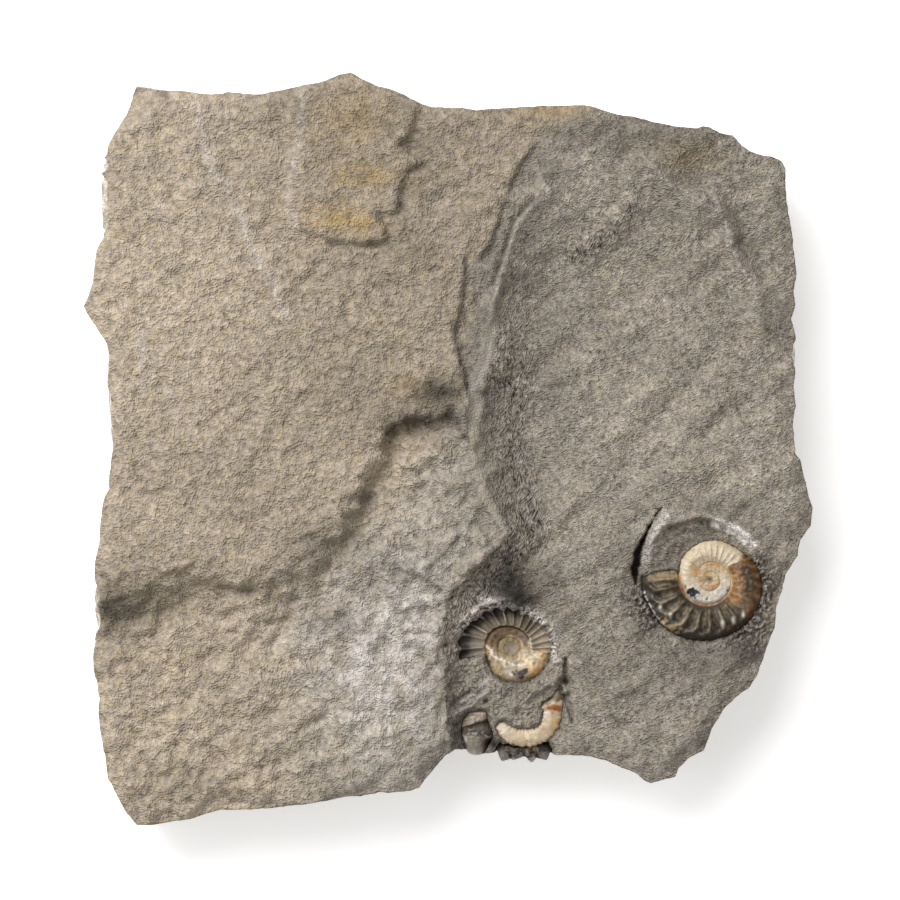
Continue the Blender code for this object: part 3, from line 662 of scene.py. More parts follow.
def build_fragment():
    outline = along_outline(FRAGMENT_OUTLINE, FRAGMENT_SPOKES)
    x, y, share = round_lattice(FRAGMENT_CENTRE, outline, FRAGMENT_RINGS)
    px, py = in_picture(x, y)
    dome = np.sqrt(np.clip(1.0 - share ** 2, 0.0, 1.0))
    blotch = rough(x, y, 2.0, 131)
    fine = rough(x, y, 0.9, 132)
    bar = py - 725 + 0.30 * (px - 478) + 1.2 * blotch
    lower = py - (735.5 + 2.0 * blotch + 0.12 * (px - 475))
    shaded_notch = bump_at(x, y, (494, 746), 6, 7)
    height = dome * (2.6 + 1.3 * smooth(lower / 2.5)) - 3.4 * shaded_notch + 0.22 * fine
    height += 0.9 * (smooth(-bar / 2.0) - smooth(0.5 + bar / 3.0) * smooth(1.0 - lower / 3.0))
    colour = coats(
        # the base is the slate band: partly its own colour, partly painted shade on the step's lower face
        linear("#564d41"), *stains(x, y, ((483, 729), 8, 3, 0.7, "#706c62")),
        (smooth(-bar / 2.0 + 0.3), "#7d6d5b"), *stains(x, y, ((479, 718), 9, 2.5, 0.7, "#9b8a7c")),
        (0.9 * smooth((716.5 - py + fine) / 2.0), "#c3b5a6"), (smooth(lower / 3.0), "#8a8073"),
        (smooth(lower / 3.0) * smooth(1.5 * blotch), "#a39a8e"),
        # painted shadow, dark brown, in the hollow at the right of the lower lobe
        *stains(x, y, ((487, 745), 7, 8, 0.95, "#33281e")),
        (0.8 * hump(lower, 1.3) * smooth(0.5 + 2 * fine), "#b8b0a6"),
        # the first of these is a painted glint at the lower left
        *stains(x, y, ((465.5, 741), 1.6, 2.4, 0.9, "#f0ece4"), ((464, 728), 3, 7, 0.6, "#b09c8c")),
        # painted shade, near black, in the notch
        (1.3 * shaded_notch, "#1f1b17"))
    return round_piece("ammonite_fragment_fine", x, y, FRAGMENT_PLANE + height, colour,
                       FRAGMENT_SPOKES, FRAGMENT_FLOOR), outline


fragment, fragment_outline = build_fragment()
fragment.data.materials.append(calcite("grey_calcite", 0.36, 0.3, 0.9, 0.25))
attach(fragment, "root")
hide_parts("ammonite_fragment")


# Calcite lumps: clear dark crystals grown together in the gap under the third ammonite, at the broken
# lower edge. Flat faces, grey-brown to amber, paler where they are bruised.
LUMPS_CENTRE = (524, 755)
LUMPS_OUTLINE = [
    (497, 750), (500, 744), (512, 747), (522, 747), (536, 746), (547, 744), (552, 749), (551, 755),
    (547, 764), (542, 758), (537, 760), (532, 766), (526, 758), (519, 761), (512, 763), (509, 757),
    (503, 765), (499, 758),
]
LUMPS_SPOKES = 180
LUMPS_RINGS = 40
LUMPS_FLOOR = 16.0
# Places of the crystals in pixels, their height above the floor in mm and their turn in degrees
CRYSTALS = [
    ((501, 751), 9.0, 20), ((507, 757), 8.2, 60), ((514, 752), 9.6, 10), ((521, 757), 8.6, 45),
    ((528, 751), 9.9, 30), ((534, 758), 9.0, 75), ((540, 752), 10.2, 15), ((547, 756), 8.4, 50),
]


def build_lumps():
    outline = along_outline(LUMPS_OUTLINE, LUMPS_SPOKES)
    x, y, share = round_lattice(LUMPS_CENTRE, outline, LUMPS_RINGS)
    z = np.full(x.shape, LUMPS_FLOOR + 4.0)
    face = np.zeros(x.shape)
    for number, (centre, tall, degrees) in enumerate(CRYSTALS):
        cx, cy = place(centre)
        peak = LUMPS_FLOOR + tall
        planes = []
        for k in range(5):
            way = math.radians(degrees + 72 * k)
            reach = (x - cx) * math.cos(way) + (y - cy) * math.sin(way)
            planes.append(peak - (1.1 + 0.5 * (k % 2)) * (reach - 0.5))
        own = np.minimum(np.min(planes, axis=0), peak + 0.25 * (x - cx))
        face = np.where(own > z, number + 0.2 * np.argmin(planes, axis=0), face)
        z = np.maximum(z, own)
    z = np.minimum(z, LUMPS_FLOOR + 4.0 + 14.0 * (1.0 - share))
    fine = rough(x, y, 0.8, 141)
    shade = (face * 7.31) % 1.0
    colour = coats(
        linear("#3a3229"), (smooth(2 * shade - 0.6), "#574e41"),
        *stains(x, y, ((536, 755), 11, 7, 0.9 * smooth(1.4 - shade), "#4a3420"),
                ((546, 750), 6, 5, 0.7, "#4f5152")),
        (0.5 * smooth(4 * fine - 1.0), "#9a9080"), *stains(x, y, ((501, 753), 3, 8, 0.6, "#a79c8c")))
    return round_piece("calcite_crystals", x, y, z + 0.1 * fine, colour, LUMPS_SPOKES, LUMPS_FLOOR)


lumps = build_lumps()
lumps.data.materials.append(calcite("amber_calcite", 0.32, 0.12, 0.7, 0.3))
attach(lumps, "root")
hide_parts("calcite_lumps")


# The slab: one piece of grey-brown limestone, split along its bedding and broken by hand all round.
# Its left part is a weathered tan bedding face with stepped edges. Its right part is grey rock that
# was cut back with an air pen, whose strokes cover it, down to the ammonites.
# Heights of the three levels above the underside
PLATEAU = 37.0
LOW_GROUND = 31.0
RIGHT_FLOOR = 27.5
# The arch under the lower edge: how high it lifts, its middle and its half width
ARCH_RISE = 11.0
ARCH_PX = 533
ARCH_HALF_PX = 78
# Play between a piece's base and the floor of its pocket
GAP = 0.35
# The face's highest spots flatten off below the solid's top
HIGHEST = cad_box[1][2] / MM
SOFT_TOP = 0.7
# Past these the outline stays as it is, since it gives the slab's width and height
EXTREME = (108.5, 112.0)
# Cells along each side of the face and of the underside, and rows down the sides
CELLS = 244
UNDER_CELLS = 61
WALL_ROWS = 10
# Ground with its cells halved, in two goes: middle, half width and half height in pixels
FINER = (((510, 665), 78, 92), ((702, 578), 82, 72)), (((508, 690), 58, 84),)
# Points this close to a shell's outline move onto it
SNAP = 0.22

TOP_EDGE = [
    (137, 86), (149, 88), (160, 90), (185, 91), (203, 94), (220, 94), (229, 92), (246, 94), (262, 94),
    (283, 90), (304, 85), (322, 82), (339, 75), (351, 73), (359, 77), (375, 85), (392, 90), (406, 95),
    (420, 103), (431, 107), (460, 108), (476, 110), (510, 108), (538, 106), (583, 105), (597, 108),
    (611, 113), (636, 117), (656, 122), (673, 126), (697, 128), (703, 126), (709, 127), (721, 133),
    (733, 135), (742, 145), (750, 151), (759, 154), (774, 157), (782, 160),
]
RIGHT_EDGE = [
    (782, 160), (786, 169), (786, 180), (787, 197), (790, 216), (794, 237), (796, 256), (798, 272),
    (795, 290), (797, 304), (793, 319), (798, 337), (797, 370), (795, 386), (797, 406), (794, 422),
    (797, 454), (802, 461), (806, 478), (811, 500), (814, 508), (812, 526), (802, 540), (799, 556),
    (787, 575), (784, 591), (778, 607), (776, 628), (768, 650), (759, 674), (751, 688),
]
BOTTOM_EDGE = [
    (751, 688), (737, 698), (724, 711), (716, 725), (708, 738), (705, 751), (689, 760), (680, 769),
    (676, 778), (652, 785), (645, 782), (637, 775), (622, 769), (606, 762), (590, 758), (574, 757),
    (560, 757), (552, 756), (528, 752), (506, 755), (497, 754), (480, 756), (466, 751), (455, 751),
    (445, 757), (436, 768), (429, 776), (419, 789), (410, 792), (396, 794), (378, 794), (364, 797),
    (347, 798), (326, 802), (300, 806), (276, 809), (248, 811), (220, 811), (206, 815), (189, 821),
    (170, 823), (153, 826), (136, 826), (125, 815),
]
LEFT_EDGE = [
    (125, 815), (115, 794), (107, 780), (104, 759), (100, 737), (97, 716), (98, 699), (93, 672),
    (92, 657), (94, 642), (95, 628), (93, 610), (94, 586), (95, 561), (99, 544), (101, 519), (103, 501),
    (109, 488), (109, 480), (112, 454), (110, 435), (107, 390), (108, 372), (109, 355), (107, 344),
    (95, 326), (87, 313), (84, 306), (88, 298), (93, 281), (95, 260), (98, 244), (102, 234), (100, 214),
    (100, 186), (102, 161), (106, 150), (119, 126), (126, 116), (129, 109), (133, 95), (137, 86),
]

# The step down from the high ground, left to right
SCARP = [
    (60, 604), (102, 602), (126, 584), (159, 575), (187, 562), (226, 566), (250, 573), (294, 558),
    (312, 544), (336, 516), (355, 495), (371, 455), (381, 434), (396, 418), (420, 413), (444, 415),
    (468, 398),
]
# The sharp ridge from the top edge down to the group of ammonites, and its branch round them
CREST = [
    (578, 90), (558, 150), (544, 178), (535, 203), (519, 222), (513, 242), (507, 262), (497, 290),
    (492, 320), (486, 348), (475, 380), (471, 400), (471, 425), (477, 476), (485, 500), (507, 533),
    (476, 565), (446, 595), (440, 640), (443, 700), (452, 775),
]
FLAKE = [
    (300, 88), (360, 80), (417, 106), (409, 139), (399, 147), (424, 164), (406, 172), (396, 214),
    (377, 213), (388, 241), (364, 244), (328, 241), (300, 230), (289, 203), (289, 180), (300, 144),
]
UPPER_CRACK = [(466, 240), (465, 280), (462, 305), (456, 340), (462, 364), (468, 400)]
FOLD_STEP = [(552, 274), (598, 249), (618, 233), (634, 213), (660, 197)]
FOLD_CREST = [
    (644, 167), (690, 195), (715, 210), (728, 226), (731, 249), (744, 267), (756, 290), (759, 323),
]
POCKET_RIM = [(660, 545), (674, 524), (703, 518), (727, 523), (747, 535), (760, 550)]
TERRACE_EDGE = [
    (540, 100), (533, 149), (521, 167), (511, 183), (501, 213), (491, 243), (480, 260), (467, 266),
]
# Stains, worn places and painted light and shade: centre, half widths in pixels, how much lighter or darker
STAINS_AND_PAINTED_SHADING = [
    ((148, 602), 50, 24, -0.34), ((111, 615), 28, 30, -0.50), ((415, 418), 48, 13, -0.14),
    ((441, 392), 30, 15, -0.68), ((350, 505), 18, 32, -0.12), ((480, 528), 12, 18, -0.14),
    ((408, 478), 55, 50, 0.30), ((290, 450), 45, 50, -0.14), ((392, 130), 26, 34, -0.14),
    ((418, 235), 34, 80, -0.12), ((477, 330), 14, 62, -0.16), ((688, 160), 28, 22, -0.20),
    ((645, 132), 80, 24, -0.34),
    ((630, 180), 44, 22, -0.16), ((612, 242), 50, 20, -0.12), ((620, 690), 60, 50, -0.10),
    ((513, 580), 20, 28, -0.26), ((550, 582), 18, 18, -0.38), ((468, 632), 16, 44, 0.50),
    ((714, 503), 34, 13, -0.24), ((750, 472), 50, 28, 0.26), ((700, 656), 50, 18, -0.30),
    ((715, 728), 20, 34, -0.18), ((635, 420), 42, 60, 0.20), ((738, 232), 7, 22, -0.22),
    ((553, 176), 14, 18, -0.34), ((543, 212), 9, 14, -0.26), ((527, 240), 9, 18, -0.20),
    ((334, 622), 36, 16, -0.42), ((190, 782), 30, 14, -0.32), ((370, 728), 38, 32, 0.20),
    ((575, 520), 34, 34, 0.24), ((554, 385), 20, 50, -0.30), ((752, 622), 14, 26, -0.24),
    ((445, 768), 26, 16, -0.44), ((790, 500), 12, 20, 0.16),
    ((470, 408), 7, 18, 0.50), ((746, 650), 18, 17, -0.48), ((708, 670), 36, 16, -0.22),
    ((702, 531), 22, 12, -0.30), ((672, 553), 14, 18, -0.30), ((510, 690), 24, 9, -0.25),
    ((513, 591), 24, 12, -0.62), ((750, 195), 24, 26, 0.20), ((425, 522), 26, 26, 0.20),
    ((308, 540), 20, 16, -0.30), ((432, 682), 16, 34, -0.08), ((456, 735), 9, 18, -0.36),
    ((702, 742), 20, 16, -0.22), ((180, 315), 55, 30, 0.10), ((515, 300), 12, 50, 0.12),
    ((556, 618), 14, 20, -0.20), ((290, 156), 36, 34, 0.14), ((625, 545), 16, 20, -0.20),
    ((530, 545), 26, 14, 0.14), ((170, 520), 36, 24, 0.12),
]
LUMP_NOTCH = [(493, 775), (494, 749), (500, 743.5), (512, 746), (522, 746), (536, 745), (549, 743),
              (553, 749), (553, 775)]
# Finer lines on the face: joints that show dark with their depth in mm, and pale threads of calcite
CRACKS = [
    ([(466, 258), (465, 280), (462, 305), (455, 340), (462, 364), (468, 388)], 1.1),
    ([(460, 536), (443, 555), (427, 569)], 0.9),
    ([(388, 434), (394, 425), (404, 421), (418, 420), (432, 422), (444, 418), (449, 410)], 1.0),
    ([(452, 408), (457, 421), (462, 434), (468, 441)], 0.8),
    ([(395, 568), (418, 576), (441, 590)], 0.8),
    ([(388, 241), (378, 247), (364, 244), (343, 241), (328, 241)], 0.5),
    ([(424, 164), (406, 172), (399, 186), (399, 200), (396, 214)], 0.6),
    ([(159, 91), (170, 105)], 0.4),
    ([(332, 370), (354, 370)], 0.5),
    ([(399, 759), (413, 751), (431, 752)], 0.6),
    ([(534, 199), (522, 211), (512, 224), (507, 245), (500, 264), (492, 284)], 1.0),
    ([(533, 149), (521, 167), (511, 183), (501, 213), (491, 243), (482, 258)], 0.7),
    ([(236, 403), (220, 411), (211, 419), (201, 426)], 0.6),
    ([(144, 491), (155, 491), (172, 490)], 0.5),
    ([(222, 588), (250, 592)], 0.6),
    ([(452, 706), (466, 696), (478, 690)], 0.7),
    ([(296, 118), (292, 124)], 0.4), ([(203, 166), (207, 175)], 0.5), ([(206, 218), (210, 225)], 0.4),
]
THREADS = [
    [(305, 87), (302, 116), (300, 144), (289, 180), (289, 203), (297, 226)],
    [(200, 106), (205, 144), (210, 170), (230, 188), (243, 223), (259, 259), (276, 290), (289, 315)],
    [(141, 335), (144, 386)],
    [(167, 386), (177, 417)],
    [(497, 330), (488, 362), (475, 390)],
]
# Low ridges on the upper part of the slope
RIDGES = [
    [(541, 177), (545, 186), (549, 197)],
    [(540, 196), (528, 211), (517, 225), (511, 245), (505, 268), (497, 290), (490, 318)],
    [(644, 160), (655, 172), (672, 188), (690, 197), (708, 208), (722, 216), (730, 232), (736, 258)],
    [(736, 258), (742, 268), (758, 286)],
    [(713, 182), (716, 200), (724, 214)],
    [(457, 538), (447, 551), (430, 566)],
]
# Rough stretch left by the tool under the fold
ROUGH_BAND = [(572, 256), (590, 247), (606, 238), (618, 226), (630, 212)]
# Small holes: place, half width in pixels, depth in mm
HOLES = [
    ((295, 188), 3, 0.7), ((179, 276), 8, 0.7), ((163, 170), 7, 0.5), ((399, 377), 4, 0.6),
    ((386, 565), 6, 1.2), ((395, 572), 5, 0.9), ((362, 498), 9, 1.6), ((622, 134), 7, 0.9),
    ((350, 170), 6, 0.4), ((446, 645), 3, 1.6), ((486, 703), 2.5, 1.6), ((567, 683), 3, 2.0),
]
# Open joint left of the large ammonite, the raised rim just inside it, the ledge round the mould of its
# missing last whorl with the bruised stretch, and the groove right of the small group
LARGE_GAP = [(663, 507), (655, 518), (648, 531.5), (642.4, 543), (638.6, 553.6), (635.7, 569), (637, 584)]
LARGE_LIP = [(668, 516), (658, 531), (651, 548), (648, 562)]
MOULD_LEDGE = [
    (668, 524), (689, 519), (703, 517), (716, 519), (727, 524), (738, 531), (748, 539), (758, 549),
]
BRUISED_LEDGE = [(717, 523.5), (727, 527), (738, 531.5), (746, 538), (752, 545)]
GROUP_GROOVE = [(566, 660), (566, 676), (564, 688), (567, 700), (571, 712), (573, 723)]
# Thin pale ledges of rock left of the small group
GROUP_LEDGES = [[(459, 713), (472, 706), (487, 693)], [(463, 702), (474, 694), (488, 680)]]
# Painted shadows in the hollows round the pieces and in the wall under the scarp: place, half widths, how
# dark, how much of that shows on even ground and how far small lumps change it
PAINTED_SHADOWS = [
    ((513, 580), 17, 22, 0.95, 0.9, 1.0), ((522, 602), 18, 9, 1.0, 1.0, 0.0),
    ((508, 588), 9, 14, 0.7, 1.0, 0.0), ((420, 416), 34, 9, 0.3, 0.5, 2.0),
    ((418, 427), 28, 7, 0.45, 0.6, 2.0), ((394, 430), 4, 10, 1.0, 0.8, 1.6),
    ((447, 416), 5, 6, 1.0, 1.0, 0.0), ((493, 744), 6, 10, 1.0, 1.1, 1.0),
]
# White bruises and rust: place, half widths and how strong
BRUISES = [
    ((489, 601), 12, 4, 0.9), ((553, 634), 6, 9, 0.8), ((560, 662), 8, 2, 1.0), ((455, 646), 4, 9, 0.5),
    ((655, 535), 5, 14, 0.35),
]
RUST = [
    ((330, 219), 30, 14, 1.0), ((362, 176), 34, 11, 1.0), ((368, 225), 18, 12, 0.7),
    ((350, 120), 40, 30, 0.5),
]
FAINT_RUST = [((550, 112), 36, 9, 0.6), ((407, 385), 18, 12, 0.4), ((688, 158), 32, 20, 0.35)]
# Stretches where the broken side stands out past the face and shows as a bright fresh strip:
# centre, half length along the side, width
STRIPS = [((102, 196), 42, 9), ((109, 420), 30, 3.5), ((95, 607), 22, 7), ((797, 354), 12, 4)]
# Shares of finish on the sides and the underside, where they aren't worked out
SIDES_AND_UNDER = {"weathered": 0.4, "tone": 0.95}


def inside(pts, x, y):
    """True where a place is inside the closed outline."""
    within = np.zeros(np.shape(x), dtype=bool)
    for a, b in zip(pts, np.roll(pts, -1, axis=0)):
        crosses = (a[1] > y) != (b[1] > y)
        rise = b[1] - a[1] if b[1] != a[1] else 1e-12
        within ^= crosses & (x < a[0] + (y - a[1]) / rise * (b[0] - a[0]))
    return within


def turned(x, y, degrees):
    """Coordinates along and across a direction."""
    c, s = math.cos(math.radians(degrees)), math.sin(math.radians(degrees))
    return x * c + y * s, y * c - x * s


def turn_about(centre, x, y):
    """Degrees round a place of the photograph, from its right and anticlockwise."""
    cx, cy = place(centre)
    return np.degrees(np.arctan2(y - cy, x - cx))


def close_to(outline, x, y, margin):
    """Numbers of the places inside the outline's box and a margin round it."""
    low, high = outline.min(axis=0) - margin, outline.max(axis=0) + margin
    return np.flatnonzero((x > low[0]) & (x < high[0]) & (y > low[1]) & (y < high[1]))


EDGE = line(TOP_EDGE[:-1] + RIGHT_EDGE[:-1] + BOTTOM_EDGE[:-1] + LEFT_EDGE[:-1])
HIGH_SIDE = line(SCARP + [(900, SCARP[-1][1]), (900, 20), (20, 20), (20, 604)])
LEFT_SIDE = line(CREST + [(452, 900), (20, 900), (20, 20), (575, 20)])
# Pockets the pieces sit in: outlines, how deep they go and how high the rock stands at their edge
POCKETS = [
    (large_outline, LARGE_FLOOR, 5.2), (middle_outline, MIDDLE_FLOOR, 6.9),
    (arc_outline[::3], ARC_FLOOR, 6.7), (fragment_outline, FRAGMENT_FLOOR, 7.2),
    (line(LUMP_NOTCH), LUMPS_FLOOR, 8.0),
]


def shoulder(py):
    """Width of the smooth strip between the crest and the slope below it."""
    return np.interp(py, [310, 355, 390, 415, 470, 500, 533], [0.0, 3.6, 3.2, 2.2, 1.8, 1.4, 0.2])


def relief(x, y):
    """The rock's top above the underside, as the solid has it, and where each kind of ground is."""
    px, py = in_picture(x, y)

    high = PLATEAU + 0.6 * rough(x, y, 34, 3.1)
    crack_x = distance(line(UPPER_CRACK), x, y)[2][0]
    high -= 1.6 * ramp(x, crack_x, 1.2) * ramp(py, 225, 60)
    d = distance(line(FLAKE), x, y, closed=True)[0]
    on_flake = np.where(inside(line(FLAKE), x, y), d, -d)
    lip = smooth(0.5 + on_flake / 0.9) * smooth(1.0 - on_flake / 9)
    high += 1.2 * smooth(0.5 + on_flake / 1.6)
    lower_right = ramp(px + 0.5 * (py - 170), 330, 40)
    high += lower_right * (1.2 * lip - 0.7 * hump(on_flake + 1.2, 1.1))

    to_crest = from_line(CREST, x, y)
    low = LOW_GROUND + rough(x, y, 30, 7.7) - 1.5 * ramp(py, 640, 180)
    low += 3.2 * smooth(1.0 - to_crest / 22) * window(py, 400, 40, 640, 90)

    d = from_line(SCARP, x, y)
    below = np.where(inside(HIGH_SIDE, x, y), -d, d)
    below = np.where(px > SCARP[-1][0], (py - SCARP[-1][1]) * PX, below)
    width = np.interp(px, [95, 150, 200, 240, 310, 345, 380, 400, 450, 459, 470, 510],
                      [9, 8, 10, 15, 13, 7, 5, 4, 4, 7, 17, 24])
    left = high + (low - high) * smooth(below / width) - 2.2 * bump_at(x, y, (430, 423), 26, 9)
    broken = smooth(2.4 - np.abs(2.0 * below / width - 1.0)) * (below > -4)
    left += broken * (1.9 * rough(x, y, 3.6, 3.7) + 1.0 * rough(x, y, 1.6, 3.9))
    left += 1.7 * smooth(2.4 * bump_at(x, y, (461, 423), 8, 19) - 0.6)
    terrace_x = distance(line(TERRACE_EDGE), x, y)[2][0]
    left -= 1.5 * ramp(x, terrace_x - 0.3, 1.4) * window(py, 125, 30, 270, 15)

    right = RIGHT_FLOOR + 7.5 * (1.0 - ramp(py, 110, 200)) + 2.2 * ramp(px, 560, 170)
    right += 0.8 * rough(x + y * 0.4, y * 0.8, 26, 11.3)
    d, along, near = distance(line(FOLD_STEP), x, y)
    over = np.where((y - near[1]) - (x - near[0]) > 0, d, -d)
    step = smooth(0.5 + over / 8) * smooth(1.0 - d / 32)
    right += 2.3 * step * window(along, 0.0, 0.2, 1.0, 0.3)
    d, along, near = distance(line(FOLD_CREST), x, y)
    past_fold = (x - near[0]) + (y - near[1]) > 0
    right += 1.7 * hump(d, 4) - 1.8 * smooth(d / 5) * past_fold * smooth(along / 0.15)
    right += 2.2 * hump(from_line(POCKET_RIM, x, y), 3.5) - 1.3 * bump_at(x, y, (690, 160), 20, 18)
    right -= 2.0 * ramp(away_from(LARGE_CENTRE, x, y), 27, -8)
    right -= 2.0 * ramp(away_from((508, 690), x, y, 1.25), 30, -10)

    past = np.where(inside(LEFT_SIDE, x, y), -to_crest, to_crest)
    slope = np.interp(py, [100, 150, 190, 225, 262, 540, 600, 760], [40, 34, 24, 17, 15, 13, 9, 6])
    started = past - shoulder(py)
    rounded = 0.5 * (started + np.hypot(started, 0.9))
    fall = 1.0 - (1.0 - np.clip(rounded / slope, 0.0, 1.0)) ** 1.5
    top = left + (right - left) * fall
    top += 1.1 * hump(past + 0.8, 1.7) * window(py, 230, 60, 640, 60)
    from_edge = distance(EDGE, x, y, closed=True)[0]
    top -= 1.6 * (1.0 + 0.5 * rough(x, y, 12, 21)) * smooth(1.0 - from_edge / 4.5)
    return top, past, below, broken * (1.0 - fall)


def near_pieces(x, y, top):
    """Ground close round the ammonites: ledges, open joints, crumbs, and the pockets themselves."""
    from_large = away_from(LARGE_CENTRE, x, y)
    to_ledge = away_from(LARGE_CENTRE, *distance(line(MOULD_LEDGE), x, y)[2])
    in_mould = ramp(from_large, to_ledge, -1.2) * ramp(y, place((0, 575))[1], 4)
    trough = LARGE_PLANE + 1.0 + 2.6 * ramp(from_large / to_ledge, 0.5, 0.5)
    trough += rough(x, y, 3, 91) + 0.8 * rough(x, y, 1.5, 95)
    top = top + (np.minimum(trough, top) - top) * in_mould
    top += 1.4 * hump(from_line(LARGE_LIP, x, y), 1.5)
    d, along = distance(line(LARGE_GAP), x, y)[:2]
    half = np.interp(along, [0, 0.3, 0.5, 0.7, 0.9, 1], [0.3, 0.5, 0.8, 1.15, 1.15, 0.6])
    gap = smooth(((half + 0.5 * rough(x, y, 2, 94)) * 1.3 - d) / 0.9)
    d, along = distance(line(GROUP_GROOVE), x, y)[:2]
    half = np.interp(along, [0, 0.3, 0.5, 0.7, 1], [0.5, 1.0, 1.8, 1.1, 0.5])
    groove = hump(d, half) * smooth(0.9 + 1.2 * rough(x, y, 2, 96))
    ledges = sum(hump(from_line(ledge, x, y), 0.9) for ledge in GROUP_LEDGES)
    top += 0.8 * ledges - 5.5 * gap - 2.8 * groove
    # Crumbly pale rim over the mould, the pillar left of it, the crust right of it
    turn = turn_about(MIDDLE_CENTRE, x, y)
    border = np.interp(turn, [-20, 30, 60, 100, 130, 170], [44, 39, 41, 45, 49, 54]) * PX
    border = border + 0.9 * rough(x, y, 3, 78)
    crust = window(turn, -25, 20, 172, 15) * hump(away_from(MIDDLE_CENTRE, x, y) - border, 1.4)
    heaps = bumps(x, y, ((455, 646), 4, 10, 1.5), ((553, 636), 6, 12, 1.6), ((561, 662), 8, 3, 1.2))
    top += (0.6 + 0.6 * np.abs(rough(x, y, 1.6, 92))) * (2.2 * crust + heaps)
    # Grey filling inside the third ammonite, with its flat paler block
    top += 0.9 * smooth(1.6 - away_from((514, 708), x, y) / 5.5)
    top += 0.5 * smooth(3 * bump_at(x, y, (531, 707), 11, 11) ** 3)
    chunky = smooth(1.5 - away_from((505, 695), x, y, 1.15) / 22)
    top += chunky * (1.2 * rough(x, y, 3.4, 97) + 1.1 * np.abs(rough(x, y, 1.6, 98)))

    closest = np.full(x.shape, 1e9)
    within = np.zeros(x.shape, dtype=bool)
    for outline, floor, wall in POCKETS:
        part = close_to(outline, x, y, 6)
        ax, ay = x[part], y[part]
        d = distance(outline, ax, ay, closed=True)[0]
        broken = 0.9 * rough(ax, ay, 2.6, 93) + 0.8 * rough(ax, ay, 1.2, 99)
        lap = 0.08 + 0.8 * np.maximum(0.0, rough(ax, ay, 2.2, 90))
        deep = inside(outline, ax, ay) & (d > lap)
        top[part] = np.where(deep, floor - GAP, np.minimum(top[part], floor + wall + 1.7 * d + broken))
        within[part] |= deep
        closest[part] = np.minimum(closest[part], np.where(deep, 0.0, d))
    return top, closest, within, np.maximum(gap, 0.35 * groove), crust, chunky


def kinds_of_ground(x, y, past):
    """Shares of rock cut back with the air pen, of tan weathered rock and of the steep slope's rock."""
    px, py = in_picture(x, y)
    tooled = smooth(0.5 + past / np.interp(py, [120, 200, 262], [14, 7, 3]))
    tan_edge = np.interp(py, [95, 120, 150, 182, 214, 245, 264, 400, 600, 800],
                         [590, 565, 534, 512, 501, 490, 468, 462, 330, 300])
    tan_edge = tan_edge + np.interp(py, [240, 300], [7, 22]) * rough(x, y, 12, 41)
    tan_fade = np.interp(py, [110, 160, 260, 420, 600], [30, 10, 10, 18, 130])
    weathered = smooth((tan_edge - px) / tan_fade + 0.5)
    foot_of_slope = np.interp(py, [200, 300, 340, 400, 460, 560], [12, 13, 17, 24, 20, 16])
    steep = window(past, shoulder(py) - 0.1, 0.8, foot_of_slope, 9)
    steep = steep * np.interp(py, [190, 270, 330, 375], [0.0, 0.38, 0.5, 1.0])
    steep = np.maximum(steep, 0.9 * hump(from_line(ROUGH_BAND, x, y), 3.2))
    return tooled, weathered, steep


def fine_marks(x, y, warp_x, warp_y, broad):
    """Cracks, threads, ridges and holes: their height, and how pale and how dark they make the rock."""
    height, pale, dark = np.zeros(x.shape), [], []
    near_x, near_y = x + 0.5 * warp_x, y + 0.5 * warp_y
    for points, depth in CRACKS:
        crack = hump(from_line(points, near_x, near_y), 0.7) * depth
        height -= crack
        dark.append(0.7 * crack)
    for points in THREADS:
        thread = hump(from_line(points, x + warp_x, y + warp_y), 1.0) * (0.7 + 0.7 * broad)
        height += 0.55 * thread
        pale.append(0.5 * thread)
    for points in RIDGES:
        ridge = hump(from_line(points, near_x, near_y), 1.1)
        height += 0.9 * ridge
        pale.append(0.16 * ridge)
    for centre, size, depth in HOLES:
        hole = bump_at(x + 0.4 * warp_x, y + 0.4 * warp_y, centre, size, size) * depth
        height -= hole
        # a hole's dark is painted shade
        dark.append(0.35 * hole)
    return height, pale, dark


def stained(x, y, tooled):
    """How light the stone is on the whole: random tone, stains and worn places, painted light and shade, and
    broad fades on the ground not cut back.
    """
    px, py = in_picture(x, y)
    tone = 1.0 + 0.16 * rough(x, y, 32, 73) + 0.10 * rough(x, y, 11, 74) + bumps(x, y, *STAINS_AND_PAINTED_SHADING)
    fade = 0.10 * ramp(py, 130, 110) - 0.22 * ramp(px, 190, 160)
    return tone + (fade * ramp(py, 470, -60) + 0.14 * ramp(py, 560, 60)) * (1.0 - tooled)


